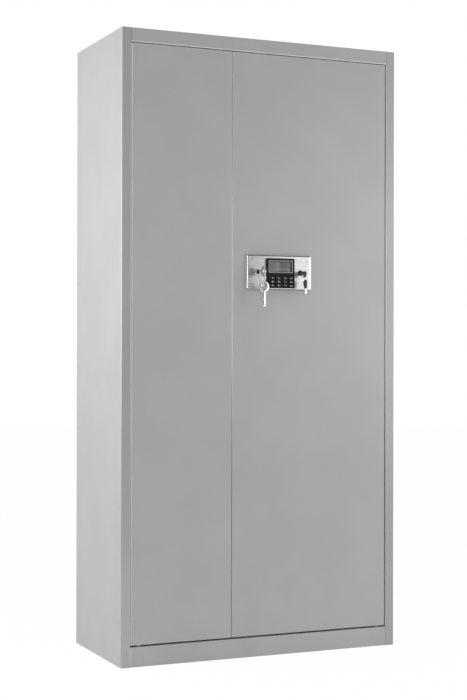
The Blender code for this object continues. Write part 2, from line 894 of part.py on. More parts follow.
def head_key(name):
    """Tube key with a moulded head, hanging tube down, the head's middle at the origin.

    The head is a leaf, fuller on its -X side and wider towards its eye.
    """
    bm = bmesh.new()
    add_drum(bm, (0, -head_thickness / 2, 0), (0, head_thickness / 2, 0), head_width / 2, small_sides)
    for vert in bm.verts:
        share = straight_side_share if vert.co.x > 0 else full_side_share
        vert.co.x *= share * (1 + head_lean_share * vert.co.z / (head_width / 2))
        vert.co.z *= head_length / head_width
    key = place(name, bm, "black_plastic")
    round_edges(key, head_edge, 2)
    join(key, drum(name + "_tube", (0, 0, -head_length / 2 - tube_length),
                   (0, 0, -head_length / 2 + tube_radius), tube_radius, None, small_sides))
    x, z = head_eye
    cut(key, drum(name + "_eye", (x, -head_thickness, z), (x, head_thickness, z),
                  head_hole_radius, None, small_sides))
    settle(key)
    return key


# Turns a hanging key so that its blade points into the door and its bow stands upright
into_lock = Matrix(((0, -1, 0), (0, 0, -1), (1, 0, 0))).to_4x4()


def set_of_keys(maker, prefix, x, bow_y, eye, eye_radius, radius, wire, ring_turn,
                spare_turn, owner):
    """A key in its lock, a split ring through its eye and a spare hanging on the ring."""
    key_name, ring_name, spare_name = prefix + "_key", prefix + "_key_ring", prefix + "_spare_key"
    key = maker(key_name)
    key.data.transform(Matrix.Translation((x, bow_y, lock_z)) @ into_lock)
    eye_y = bow_y - eye[1]
    ring_top = lock_z + eye[0] - eye_radius + wire + hang_gap
    ring = wire_ring(ring_name, (x, eye_y, ring_top - radius), radius, wire, ring_turn, "chrome")
    ring_low = ring_top - 2 * radius
    spare = maker(spare_name)
    eye_centre = Vector((x, eye_y, ring_low + wire + hang_gap - eye_radius))
    spare.data.transform(Matrix.Translation(eye_centre) @ Matrix.Rotation(spare_turn, 4, "Z")
                         @ Matrix.Translation((-eye[0], 0, -eye[1])))
    ring_joint = joint(ring_name + "_joint", (x, eye_y, ring_top), owner)
    spare_joint = joint(spare_name + "_joint", (x, eye_y, ring_low), ring_joint)
    carry(owner, key)
    carry(ring_joint, ring)
    carry(spare_joint, spare)


main_joint = joint("main_lock_joint", (main_x, door_face, lock_z), wide_joint)
emergency_joint = joint("emergency_lock_joint", (emergency_x, door_face, lock_z), wide_joint)
carry(main_joint, main_cam)
carry(emergency_joint, emergency_cam)

main_bow_y = door_face + blade_tip_depth - blade_length - bow_radius
set_of_keys(flat_key, "main", main_x, main_bow_y, bow_eye, bow_hole_radius,
            ring_radius, ring_wire, main_ring_turn, 0, main_joint)

head_middle_y = tube_mouth + tube_inserted - tube_length - head_length / 2
set_of_keys(head_key, "emergency", emergency_x, head_middle_y, head_eye, head_hole_radius,
            emergency_ring_radius, emergency_ring_wire, 0, emergency_spare_turn, emergency_joint)

# Rods and side bolt

yoke_reach = crank_pin_radius + slot_clearance + yoke_wall
slot_reach = crank_pin_radius + slot_clearance
near = crank_radius * math.cos(cam_sweep / 2)


def yoke_slot(name, low_x, high_x, low_z, high_z, layer):
    return block(name, (low_x, door_face + layer[0] - seam, low_z),
                 (high_x, door_face + layer[1] + seam, high_z))


def rod(name, sign, pin_angle, layer, tip):
    """Round rod with a flat slotted plate at the cam; sign is +1 for the rod that goes up."""
    _, pin_z = crank_point(pin_angle)
    outer_x = main_x + sign * (crank_radius + yoke_reach)
    inner_x = main_x + sign * (near - yoke_reach)
    start_z = pin_z - sign * yoke_reach
    end_z = lock_z + sign * (rod_start + rod_overlap)
    low = (min(inner_x, outer_x), door_face + layer[0], min(start_z, end_z))
    high = (max(inner_x, outer_x), door_face + layer[1], max(start_z, end_z))
    piece = block(name, low, high, "zinc_plated")
    x = main_x + sign * rod_offset
    join(piece, drum(name + "_bar", (x, door_face + rod_line, lock_z + sign * rod_start),
                     (x, door_face + rod_line, tip), rod_radius, None, small_sides))
    slot_outer = main_x + sign * (crank_radius + slot_reach)
    slot_inner = main_x + sign * (near - slot_reach)
    cut(piece, yoke_slot(name + "_slot", min(slot_inner, slot_outer), max(slot_inner, slot_outer),
                         pin_z - slot_reach, pin_z + slot_reach, layer))
    carry(joint(name + "_joint", (x, door_face + rod_line, lock_z), wide_joint), piece)
    return x


upper_x = rod("rod_upper", 1, upper_pin_angle, upper_plate_layer, door_high + upper_tip_gap)
lower_x = rod("rod_lower", -1, lower_pin_angle, lower_plate_layer, plinth_height + lower_tip_gap)

pin_x, pin_z = crank_point(bolt_pin_angle)
bolt_low_z = lock_z + near - yoke_reach
side_bolt = block("side_bolt", (wide_edge + bolt_edge_gap, door_face + bolt_layer[0], bolt_low_z),
                  (pin_x + yoke_reach, door_face + bolt_layer[1], bolt_low_z + bolt_height),
                  "zinc_plated")
join(side_bolt, block("bolt_yoke", (pin_x - yoke_reach, door_face + bolt_layer[0], bolt_low_z),
                      (pin_x + yoke_reach, door_face + bolt_layer[1],
                       lock_z + crank_radius + yoke_reach)))
cut(side_bolt, yoke_slot("bolt_slot", pin_x - slot_reach, pin_x + slot_reach,
                         lock_z + near - slot_reach, lock_z + crank_radius + slot_reach, bolt_layer))
carry(joint("side_bolt_joint", (pin_x, door_face + bolt_layer[0], lock_z), wide_joint), side_bolt)

rod_hole = rod_radius + running
for obj, x, level, label in ((wide_panel, upper_x, door_high, "door_upper"),
                             (wide_panel, lower_x, door_low, "door_lower"),
                             (top_rail, upper_x, height - rail_height, "rail"),
                             (plinth, lower_x, plinth_height, "plinth")):
    cut(obj, drum("rod_hole_" + label, (x, door_face + rod_line, level - overrun),
                  (x, door_face + rod_line, level + overrun), rod_hole, None, small_sides))
bolt_hole = block("bolt_hole",
                  (narrow_edge - overrun, door_face + bolt_layer[0] - running,
                   bolt_low_z - running),
                  (wide_edge + overrun, door_face + bolt_layer[1] + running,
                   bolt_low_z + bolt_height + running))
for leaf in (narrow_panel, wide_panel):
    cut(leaf, bolt_hole)

# Rod guides


def guide(name, x, level):
    """Block welded inside the door with a hole that the rod slides in."""
    seat = door_inner + seam
    piece = block(name, (x - guide_width / 2, seat, level - guide_height / 2),
                  (x + guide_width / 2, door_face + rod_line + rod_hole + guide_wall,
                   level + guide_height / 2), "zinc_plated")
    cut(piece, drum(name + "_hole", (x, door_face + rod_line, level - guide_height),
                    (x, door_face + rod_line, level + guide_height), rod_hole, None, small_sides))
    carry(wide_joint, piece)


guide("rod_guide_upper", upper_x, door_high - guide_inset)
guide("rod_guide_lower", lower_x, door_low + guide_inset)

# Solenoid, whose plunger drops into a notch of the cam

plunger_y = door_face + cam_middle
plunger_tip = main_x + cam_radius + plunger_tip_gap
solenoid_low_x = plunger_tip + solenoid_gap
solenoid = block("solenoid", (solenoid_low_x, door_inner + seam, lock_z - solenoid_side / 2),
                 (solenoid_low_x + solenoid_length, door_inner + seam + solenoid_side,
                  lock_z + solenoid_side / 2), "dark_metal", button_edge)
cut(solenoid, drum("plunger_bore", (solenoid_low_x - overrun, plunger_y, lock_z),
                   (solenoid_low_x + plunger_inside + running, plunger_y, lock_z),
                   plunger_radius + running, None, small_sides))
plunger = drum("solenoid_plunger", (plunger_tip, plunger_y, lock_z),
               (solenoid_low_x + plunger_inside, plunger_y, lock_z), plunger_radius,
               "zinc_plated", small_sides)
carry(wide_joint, solenoid)
carry(joint("plunger_joint", (plunger_tip, plunger_y, lock_z), wide_joint), plunger)

# Lock case: a cover over the works, open where the rods and the bolt pass

case_low = (plate_low_x - case_margin_x, door_inner + seam, lock_z - plate_height / 2 - case_margin_z)
case_high = (plate_low_x + plate_width + case_margin_x, door_face + case_depth,
             lock_z + plate_height / 2 + case_margin_z)
lock_case = pan("lock_case", case_low, case_high, 1, -1, 0, "grey_paint")
yoke_outer = crank_radius + yoke_reach + running
for x, sign, level, label in ((upper_x, 1, case_high[2], "upper"), (lower_x, -1, case_low[2], "lower")):
    ends = (x - sign * rod_hole, main_x + sign * yoke_outer)
    cut(lock_case, block("case_slot_" + label,
                         (min(ends), door_inner - overrun, level - overrun),
                         (max(ends), door_face + upper_plate_layer[1] + running, level + overrun)))
cut(lock_case, block("case_slot_bolt",
                     (case_low[0] - overrun, door_inner - overrun, bolt_low_z - running),
                     (case_low[0] + overrun, door_face + bolt_layer[1] + running,
                      bolt_low_z + bolt_height + running)))
carry(wide_joint, lock_case)
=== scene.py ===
"""Steel storage cabinet with an electronic lock: finishes, fine fittings and a pale studio."""
import json
import math

import bmesh
import bpy
from mathutils import Matrix, Vector


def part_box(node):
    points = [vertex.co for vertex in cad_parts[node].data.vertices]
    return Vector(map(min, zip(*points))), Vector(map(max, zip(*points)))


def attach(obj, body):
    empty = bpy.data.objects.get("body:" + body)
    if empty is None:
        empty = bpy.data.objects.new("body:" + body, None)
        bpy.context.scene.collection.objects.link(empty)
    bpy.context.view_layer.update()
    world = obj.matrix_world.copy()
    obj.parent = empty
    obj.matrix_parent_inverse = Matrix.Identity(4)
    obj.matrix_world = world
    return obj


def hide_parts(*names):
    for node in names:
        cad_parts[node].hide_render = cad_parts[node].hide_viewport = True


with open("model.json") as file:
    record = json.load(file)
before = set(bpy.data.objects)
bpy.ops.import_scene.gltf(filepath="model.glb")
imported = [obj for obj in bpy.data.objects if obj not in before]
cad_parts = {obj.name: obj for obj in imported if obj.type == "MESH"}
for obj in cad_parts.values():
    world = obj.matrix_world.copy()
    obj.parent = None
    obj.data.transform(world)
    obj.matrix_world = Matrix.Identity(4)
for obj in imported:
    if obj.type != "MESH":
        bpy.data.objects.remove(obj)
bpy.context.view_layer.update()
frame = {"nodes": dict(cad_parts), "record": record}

MM = 0.001

# Camera: the photograph is 467 x 700 pixels, and the lengths below are in metres
PICTURE_HEIGHT = 700
FOCAL_PIXELS = 1483.0
CAMERA_PLACE = Vector((-1.879, -4.2159, 0.909))
CAMERA_TURN = math.radians(-23.81)
CAMERA_PITCH = math.radians(0.12)
CAMERA_ROLL = math.radians(0.12)
FILM_HEIGHT = 24.0

# Roundness of the fine pieces
ROUND_STEPS = 64
FINE_STEPS = 24
TUBE_STEPS = 32
WELD_STEPS = 16
SMOOTH_BELOW = math.radians(38)
MERGE_WITHIN = 0.000002

# Gap that is kept between neighbouring pieces
SEAM = 0.0003


# Shader maths


class Field:
    """A number or colour that varies over a surface: one output of a shader node."""

    def __init__(self, shader, socket):
        self.shader = shader
        self.socket = socket

    def maths(self, operation, first, second):
        return self.shader.node("ShaderNodeMath", {"operation": operation}, {0: first, 1: second})

    def __add__(self, other):
        return self.maths("ADD", self, other)

    def __sub__(self, other):
        return self.maths("SUBTRACT", self, other)

    def __rsub__(self, other):
        return self.maths("SUBTRACT", other, self)

    def __mul__(self, other):
        return self.maths("MULTIPLY", self, other)

    __radd__ = __add__
    __rmul__ = __mul__


class Shader:
    """The node tree of one finish, or of the world."""

    def __init__(self, tree):
        self.tree = tree

    def node(self, kind, settings=None, inputs=None, output=0):
        """Add one node: its settings first, then the values or links of its sockets."""
        made = self.tree.nodes.new(kind)
        for name, value in (settings or {}).items():
            setattr(made, name, value)
        for name, value in (inputs or {}).items():
            self.feed(made.inputs[name], value)
        return Field(self, made.outputs[output])

    def feed(self, socket, value):
        if isinstance(value, Field):
            self.tree.links.new(value.socket, socket)
        else:
            socket.default_value = value

    def place(self):
        """Object coordinates, in metres."""
        return self.node("ShaderNodeTexCoord", output="Object")

    def stretched(self, scale):
        return self.node("ShaderNodeMapping", {}, {"Vector": self.place(), "Scale": scale})

    def axis(self, name):
        return self.node("ShaderNodeSeparateXYZ", {}, {"Vector": self.place()}, name)

    def noise(self, where, scale, detail=2.0, roughness=0.5):
        return self.node("ShaderNodeTexNoise", {}, {
            "Vector": where, "Scale": scale, "Detail": detail, "Roughness": roughness})

    def ramp(self, value, low, high, out_low=0.0, out_high=1.0):
        """A number carried smoothly from one range to another."""
        return self.node("ShaderNodeMapRange", {"interpolation_type": "SMOOTHSTEP"}, {
            "Value": value, "From Min": low, "From Max": high,
            "To Min": out_low, "To Max": out_high})

    def blend(self, share, first, second):
        """Colours mixed by a share."""
        return self.node("ShaderNodeMix", {"data_type": "RGBA"}, {0: share, 6: first, 7: second}, 2)

    def bump(self, height, distance, strength=1.0, under=None):
        inputs = {"Height": height, "Distance": distance, "Strength": strength}
        if under is not None:
            inputs["Normal"] = under
        return self.node("ShaderNodeBump", {}, inputs)


def rgb(level, warmth=0.0):
    """A grey of the given linear level, a little warmer or cooler."""
    return (level * (1 + warmth), level, level * (1 - warmth), 1.0)


def finish(name, **sockets):
    """A material with its Principled shader, and its Shader helper."""
    material = bpy.data.materials.new(name)
    material.use_nodes = True
    shader = Shader(material.node_tree)
    surface = material.node_tree.nodes["Principled BSDF"]
    for socket, value in sockets.items():
        surface.inputs[socket.replace("_", " ")].default_value = value
    return material, shader, surface


# Finishes


# Painted highlights along the folds and painted light in the door gaps: how far each reaches
# past its two edges, its share everywhere and more at lock height
LEFT_FOLD = (-0.0016, 0.0008, 0.88, 0.12)
MEETING_FOLD = (-0.0012, 0.0010, 0.15, 0.65)
RIGHT_FOLD = (-0.0002, 0.0022, 0.10, 0.40)
TOP_FOLD = (-0.0014, 0.0016, 0.55)
OUTER_FOLD = (-0.0010, 0.0003)
OUTER_FOLD_DEPTH = (0.0020, 0.0035)
FOLD_REACH_IN = (0.010, 0.014)
LOCK_HEIGHT_FROM = (0.45, 1.05)
LOCK_HEIGHT_TO = (1.25, 1.60)
ABOVE_LOCK = 0.45

# Painted shade on the jambs: how deep it goes in from the jambs' front, and between which heights
# it comes and goes, with its share at each
JAMB_DEPTH = (0.0010, 0.0020)
LEFT_JAMB_SHADE = (0.20, 0.60, 0.0, 0.45)
RIGHT_JAMB_SHADE_LOW = (0.35, 0.70, 0.28, 0.0)
RIGHT_JAMB_SHADE_HIGH = (1.35, 1.70, 0.0, 0.25)


def band(s, place, low, high, soft=0.0003):
    """Share that is one between two positions and nought outside them."""
    return s.ramp(place, low - soft, low + soft) * s.ramp(place, high - soft, high + soft, 1.0, 0.0)


def painted_fold_highlights(s):
    """Painted highlights in near-white: along the folds beside the door gaps and into them, most of
    all at lock height.
    """
    across, deep, up = s.axis("X"), s.axis("Y"), s.axis("Z")
    narrow_low, narrow_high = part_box("narrow_door_panel")
    wide_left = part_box("wide_door_panel")[0].x
    rail_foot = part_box("top_rail")[0].z
    near_lock = s.ramp(up, *LOCK_HEIGHT_FROM) * s.ramp(up, *LOCK_HEIGHT_TO, 1.0, ABOVE_LOCK)

    def fold(low, high, reach):
        before, past, always, at_lock = reach
        return band(s, across, low + before, high + past) * (always + near_lock * at_lock)

    upright = fold(-RAIL_HALF, narrow_low.x, LEFT_FOLD) \
        + fold(narrow_high.x, wide_left, MEETING_FOLD) \
        + fold(RAIL_HALF, RAIL_HALF, RIGHT_FOLD)
    beside_doors = band(s, up, narrow_low.z - MM, narrow_high.z + MM)
    before, past, share = TOP_FOLD
    level = band(s, up, narrow_high.z + before, rail_foot + past) * share
    between_jambs = band(s, across, -RAIL_HALF, RAIL_HALF)
    in_front = s.ramp(deep, *[CARCASS_FRONT + depth for depth in FOLD_REACH_IN], 1.0, 0.0)
    outer = band(s, across, *[reach - SIDE_HALF for reach in OUTER_FOLD]) \
        * s.ramp(deep, *[CARCASS_FRONT + depth for depth in OUTER_FOLD_DEPTH], 1.0, 0.0)
    return (upright * beside_doors + level * between_jambs) * in_front + outer * near_lock


def painted_jamb_shade(s):
    """Painted shade, darker: high on the left jamb, and at both ends of the right."""
    across, up = s.axis("X"), s.axis("Z")
    in_front = s.ramp(s.axis("Y"), *[CARCASS_FRONT + depth for depth in JAMB_DEPTH], 1.0, 0.0)
    left = band(s, across, -SIDE_HALF, -RAIL_HALF) * s.ramp(up, *LEFT_JAMB_SHADE)
    right = band(s, across, RAIL_HALF, SIDE_HALF) \
        * (s.ramp(up, *RIGHT_JAMB_SHADE_LOW) + s.ramp(up, *RIGHT_JAMB_SHADE_HIGH))
    return (left + right) * in_front


PAINT_WARMTH = -0.004
DUST_WARMTH = 0.004
DUST_UP_TO = 0.62
DUST_FULL_AT = 0.04


def powder_coat(name, level):
    """Semi-gloss powder coat on sheet steel: orange peel, slight sheet waviness, a little dust."""
    material, s, surface = finish(name, Metallic=0.0)
    place = s.place()
    peel = s.noise(place, 420.0, 3.0, 0.55)
    fleck = s.noise(place, 1500.0, 1.0)
    sheet = s.noise(place, 2.3, 1.0, 0.4)
    cloud = s.noise(place, 5.0, 4.0, 0.6)
    dust = s.ramp(s.axis("Z"), DUST_UP_TO, DUST_FULL_AT) * (0.08 + cloud * 0.2)
    tone = s.blend(s.ramp(cloud, 0.35, 0.65),
                   rgb(level * 0.975, PAINT_WARMTH), rgb(level * 1.02, PAINT_WARMTH))
    tone = s.blend(s.ramp(fleck, 0.62, 0.74, 0.0, 0.22), tone, rgb(level * 0.72, PAINT_WARMTH))
    tone = s.blend(dust, tone, rgb(level * 1.28, DUST_WARMTH))
    # Painted shade: the jambs' fronts darker where less light falls on them
    tone = s.blend(painted_jamb_shade(s), tone, rgb(level * 0.70, PAINT_WARMTH))
    # Painted highlight: near-white along the rounded folds and in the door gaps, where lamps glint
    tone = s.blend(painted_fold_highlights(s), tone, rgb(0.97))
    s.feed(surface.inputs["Base Color"], tone)
    s.feed(surface.inputs["Roughness"], 0.36 + peel * 0.10 + dust * 0.12)
    wave = s.bump(sheet, 0.0022, 0.35)
    s.feed(surface.inputs["Normal"], s.bump(peel, 0.00006, 0.55, wave))
    return material


def zinc_plate(name, level):
    """Zinc plating: dull grey metal with a faint spangle and darker worn patches."""
    material, s, surface = finish(name, Metallic=1.0)
    place = s.place()
    spangle = s.node("ShaderNodeTexVoronoi", {}, {"Vector": place, "Scale": 260.0}, "Distance")
    patch = s.noise(place, 38.0, 4.0, 0.6)
    tone = s.blend(s.ramp(spangle, 0.1, 0.7), rgb(level, 0.01), rgb(level * 1.15, -0.004))
    tone = s.blend(s.ramp(patch, 0.55, 0.75, 0.0, 0.55), tone, rgb(level * 0.66, 0.03))
    s.feed(surface.inputs["Base Color"], tone)
    s.feed(surface.inputs["Roughness"], 0.30 + patch * 0.22)
    s.feed(surface.inputs["Normal"], s.bump(patch, 0.00004, 0.5))
    return material


# Lock plate: distances in from its edges between which the painted highlight and the painted shade
# come in, and the patch of painted reflection
END_HIGHLIGHT_LEFT = (0.0060, 0.0042)
END_HIGHLIGHT_RIGHT = (0.0070, 0.0040)
EDGE_SHADE_INSET = (0.0024, 0.0008)
PATCH_ACROSS = (0.008, 0.028)
PATCH_UP = (-0.012, 0.011)
PATCH_SOFT_ACROSS = 0.003
PATCH_SOFT_UP = 0.0012


def brushed_plate(name, low, high):
    """Stainless steel, brushed along its length, with highlights painted on its end folds, shade
    painted on its long ones and a dark reflection painted beside the lock.
    """
    material, s, surface = finish(name, Metallic=1.0)
    fine = s.noise(s.stretched((9.0, 9.0, 2600.0)), 1.0, 2.0, 0.6)
    broad = s.noise(s.stretched((4.0, 4.0, 330.0)), 1.0, 3.0, 0.7)
    smear = s.noise(s.stretched((14.0, 14.0, 30.0)), 1.0, 3.0, 0.6)
    tone = s.blend(s.ramp(broad, 0.30, 0.70), rgb(0.52, 0.004), rgb(0.66))
    tone = s.blend(s.ramp(fine, 0.35, 0.75, 0.0, 0.30), tone, rgb(0.44))
    across, up = s.axis("X"), s.axis("Z")
    middle = (low.z + high.z) / 2
    ends = s.ramp(across, *[low.x + inset for inset in END_HIGHLIGHT_LEFT]) \
        + s.ramp(across, *[high.x - inset for inset in END_HIGHLIGHT_RIGHT])
    long_edges = s.ramp(up, *[low.z + inset for inset in EDGE_SHADE_INSET]) \
        + s.ramp(up, *[high.z - inset for inset in EDGE_SHADE_INSET])
    # Painted reflection: a dark patch left of the main lock, as of the key mirrored in the plate
    handling_wear_and_painted_reflection = band(s, across, *[low.x + inset for inset in PATCH_ACROSS], PATCH_SOFT_ACROSS) \
        * band(s, up, *[middle + rise for rise in PATCH_UP], PATCH_SOFT_UP)
    tone = s.blend(handling_wear_and_painted_reflection * 0.6, tone, rgb(0.27))
    # Painted highlight on the end folds, and painted shade on the long folds above and below
    tone = s.blend(ends, tone, rgb(0.92))
    tone = s.blend(long_edges, tone, rgb(0.20))
    s.feed(surface.inputs["Base Color"], tone)
    s.feed(surface.inputs["Roughness"], 0.20 + broad * 0.10 + smear * 0.04 + ends * 0.14)
    s.feed(surface.inputs["Normal"], s.bump(fine, 0.00002, 0.5))
    return material


def moulded_black(name, level, rough, specular=0.5):
    """Black moulded plastic with a fine spark texture and a little handling shine."""
    material, s, surface = finish(name, Metallic=0.0, Specular_IOR_Level=specular)
    place = s.place()
    grain = s.noise(place, 2600.0, 2.0, 0.6)
    handling_wear_and_painted_reflection = s.noise(place, 55.0, 3.0, 0.6)
    tone = s.blend(s.ramp(handling_wear_and_painted_reflection, 0.4, 0.7), rgb(level), rgb(level * 1.7, 0.02))
    s.feed(surface.inputs["Base Color"], tone)
    s.feed(surface.inputs["Roughness"], rough + grain * 0.10 - handling_wear_and_painted_reflection * 0.12)
    s.feed(surface.inputs["Normal"], s.bump(grain, 0.00003, 0.6))
    return material


def bright_metal(name, level, warmth=0.0, rough=0.08, wear=0.10):
    """Chrome or nickel plate with hairline scratches."""
    material, s, surface = finish(name, Metallic=1.0)
    hair = s.noise(s.stretched((300.0, 300.0, 2400.0)), 1.0, 2.0, 0.7)
    rub = s.noise(s.place(), 120.0, 3.0, 0.6)
    tone = s.blend(s.ramp(rub, 0.40, 0.80), rgb(level, warmth), rgb(level * 0.80, warmth * 1.5))
    s.feed(surface.inputs["Base Color"], tone)
    s.feed(surface.inputs["Roughness"], rough + hair * wear)
    s.feed(surface.inputs["Normal"], s.bump(hair, 0.00001, 0.5))
    return material


def lock_core(name, front_face):
    """Plug and cam: nearly black where it shows at the front, zinc plated behind the door."""
    material, s, surface = finish(name)
    shown = s.ramp(s.axis("Y"), front_face, front_face + 0.002, 1.0, 0.0)
    patch = s.noise(s.place(), 60.0, 4.0, 0.6)
    zinc = s.blend(s.ramp(patch, 0.4, 0.7), rgb(0.52, 0.01), rgb(0.38, 0.03))
    s.feed(surface.inputs["Base Color"], s.blend(shown, zinc, rgb(0.02)))
    s.feed(surface.inputs["Roughness"], 0.30 + patch * 0.2)
    s.feed(surface.inputs["Metallic"], 1.0 - shown * 0.5)
    s.feed(surface.inputs["Normal"], s.bump(patch, 0.00003, 0.5))
    return material


# Tones of the unlit display, and where across it the painted dark reflection comes and goes
DISPLAY_DARK = (0.130, 0.137, 0.133, 1.0)
DISPLAY_LIGHT = (0.148, 0.155, 0.150, 1.0)
DISPLAY_REFLECTION_TONE = (0.055, 0.058, 0.056, 1.0)
REFLECTION_COMES = (0.33, 0.54)
REFLECTION_GOES = (0.60, 0.88)


def screen_glass(name, left, right):
    """Clear window over an unlit grey display, glossy, with a dark reflection painted past its
    middle, and faint dust.
    """
    material, s, surface = finish(name, Metallic=0.0, Coat_Weight=0.6)
    place = s.place()
    dust = s.noise(place, 900.0, 3.0, 0.7)
    cell = s.noise(place, 24.0, 2.0)
    tone = s.blend(s.ramp(cell, 0.3, 0.7), DISPLAY_DARK, DISPLAY_LIGHT)
    across, width = s.axis("X"), right - left
    # Painted reflection: a darker band across the display, as of a dark thing mirrored in the glass
    shade = s.ramp(across, *[left + width * share for share in REFLECTION_COMES]) \
        * s.ramp(across, *[left + width * share for share in REFLECTION_GOES], 1.0, 0.5)
    tone = s.blend(shade, tone, DISPLAY_REFLECTION_TONE)
    s.feed(surface.inputs["Base Color"], tone)
    s.feed(surface.inputs["Roughness"], 0.12 + s.ramp(dust, 0.6, 0.8) * 0.12)
    s.feed(surface.inputs["Normal"], s.bump(dust, 0.00001, 0.3))
    return material


def plain_paint(name, colour, rough):
    """Screen-printed ink or a small painted detail."""
    material, s, surface = finish(name, Metallic=0.0)
    grain = s.noise(s.place(), 1800.0, 2.0)
    darker = tuple(value * 0.85 for value in colour[:3]) + (1.0,)
    s.feed(surface.inputs["Base Color"], s.blend(s.ramp(grain, 0.3, 0.8), colour, darker))
    s.feed(surface.inputs["Roughness"], rough + grain * 0.1)
    s.feed(surface.inputs["Normal"], s.bump(grain, 0.00001, 0.4))
    return material


def circuit_green(name):
    """Solder mask over copper tracks."""
    material, s, surface = finish(name, Metallic=0.0)
    tracks = s.node("ShaderNodeTexBrick", {}, {"Vector": s.place(), "Scale": 90.0}, "Fac")
    mask = s.noise(s.place(), 60.0, 2.0)
    tone = s.blend(tracks, (0.010, 0.085, 0.030, 1.0), (0.030, 0.160, 0.060, 1.0))
    s.feed(surface.inputs["Base Color"], tone)
    s.feed(surface.inputs["Roughness"], 0.32 + mask * 0.15)
    s.feed(surface.inputs["Normal"], s.bump(tracks, 0.00004, 0.5))
    return material


plate_low, plate_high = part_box("lock_plate")
SIDE_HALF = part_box("side_right")[1].x
RAIL_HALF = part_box("top_rail")[1].x
CARCASS_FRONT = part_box("side_left")[0].y

finishes = {
    "grey_paint": powder_coat("grey_powder_coat", 0.40),
    "zinc_plated": zinc_plate("zinc_plate", 0.50),
    "brushed_stainless": brushed_plate("brushed_stainless_plate", plate_low, plate_high),
    "black_plastic": moulded_black("black_moulding", level=0.007, rough=0.45, specular=0.16),
    "smoked_window": moulded_black("window_surround", level=0.018, rough=0.25, specular=0.30),
    "chrome": bright_metal("bright_chrome", level=0.90),
    "nickel": bright_metal("nickel_key", level=0.86, warmth=0.01, rough=0.12, wear=0.16),
    "dark_metal": moulded_black("black_coated_metal", level=0.035, rough=0.34),
    "green_board": circuit_green("circuit_green"),
}
core_finish = lock_core("lock_core", plate_low.y)
head_finish = moulded_black("key_head_moulding", level=0.060, rough=0.50, specular=0.40)
field_finish = bright_metal("stamped_field", level=0.34, rough=0.30)
window_low, window_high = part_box("display_window")
screen_finish = screen_glass("display_glass", window_low.x, window_high.x)
ink_finish = plain_paint("pale_ink", (0.80, 0.80, 0.78, 1.0), rough=0.45)
line_finish = plain_paint("bezel_grey", rgb(0.24), rough=0.35)

slot_of = {entry["node"]: entry["material_slot"] for entry in frame["record"]["subparts"]}
body_of = {}
for body, members in frame["record"]["behaviour"]["bodies"].items():
    for node in members:
        body_of[node] = body

for node, obj in frame["nodes"].items():
    obj.data.materials.clear()
    obj.data.materials.append(finishes[slot_of[node]])


# Making pieces


def piece(name, bm, material, body, replaces=(), smooth=SMOOTH_BELOW):
    """Turn a finished bmesh into a piece that rides on a body."""
    bmesh.ops.remove_doubles(bm, verts=bm.verts, dist=MERGE_WITHIN)
    bmesh.ops.recalc_face_normals(bm, faces=bm.faces)
    mesh = bpy.data.meshes.new(name)
    bm.to_mesh(mesh)
    bm.free()
    if smooth:
        mesh.shade_smooth()
        mesh.set_sharp_from_angle(angle=smooth)
    mesh.materials.append(material)
    obj = bpy.data.objects.new(name, mesh)
    bpy.context.scene.collection.objects.link(obj)
    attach(obj, body)
    if replaces:
        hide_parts(*replaces)
    return obj


def rounded(bm, edges, radius, segments):
    bmesh.ops.bevel(bm, geom=list(edges), offset=radius, segments=segments, profile=0.5,
                    affect="EDGES", material=-1)


def block(bm, low, high):
    """A box between two corners; its new vertices come back."""
    size = Vector(high) - Vector(low)
    middle = (Vector(high) + Vector(low)) / 2
    matrix = Matrix.Translation(middle) @ Matrix.Diagonal((*size, 1))
    return bmesh.ops.create_cube(bm, size=1, matrix=matrix)["verts"]


def lathe(bm, profile, centre, steps=ROUND_STEPS):
    """Spin an outline of radii and depths about a line through centre, in and out of the door."""
    verts = [bm.verts.new((centre[0] + radius, depth, centre[1])) for radius, depth in profile]
    edges = [bm.edges.new(pair) for pair in zip(verts, verts[1:])]
    bmesh.ops.spin(bm, geom=verts + edges, cent=(centre[0], 0, centre[1]), axis=(0, 1, 0),
                   angle=math.radians(360), steps=steps, use_merge=True)


def arc(centre, radius, start, end, steps):
    """Points along an arc, in degrees."""
    points = []
    for step in range(steps + 1):
        turn = math.radians(start + (end - start) * step / steps)
        points.append((centre[0] + radius * math.cos(turn), centre[1] + radius * math.sin(turn)))
    return points


def round_hole(centre, radius, corners):
    """A circle as a closed loop of points."""
    return arc(centre, radius, 0, 360 - 360 / corners, corners - 1)


def stud(bm, profile, radius, rise, seat, centre, steps=FINE_STEPS):
    """A small turned head on a seat, its profile given as shares of its radius and rise."""
    lathe(bm, [(radius * share, seat + rise * height) for share, height in profile], centre, steps)


def blank(bm, outline, holes, thickness, edge):
    """A flat blank in the X-Z plane, cut to an outline with holes, with its rims rounded."""
    edges = []
    for loop in [outline] + holes:
        verts = [bm.verts.new((x, -thickness / 2, z)) for x, z in loop]
        edges += [bm.edges.new((a, b)) for a, b in zip(verts, verts[1:] + verts[:1])]
    faces = bmesh.ops.triangle_fill(bm, edges=edges, use_beauty=True, use_dissolve=False)["geom"]
    faces = [face for face in faces if isinstance(face, bmesh.types.BMFace)]
    drawn = bmesh.ops.extrude_face_region(bm, geom=faces)["geom"]
    drawn = [vert for vert in drawn if isinstance(vert, bmesh.types.BMVert)]
    bmesh.ops.translate(bm, vec=(0, thickness, 0), verts=drawn)
    bmesh.ops.recalc_face_normals(bm, faces=bm.faces)
    if edge:
        rims = [e for e in bm.edges if len(e.link_faces) == 2
                and e.calc_face_angle() > math.radians(60)
                and abs(e.verts[0].co.y - e.verts[1].co.y) < thickness / 10]
        rounded(bm, rims, edge, 2)


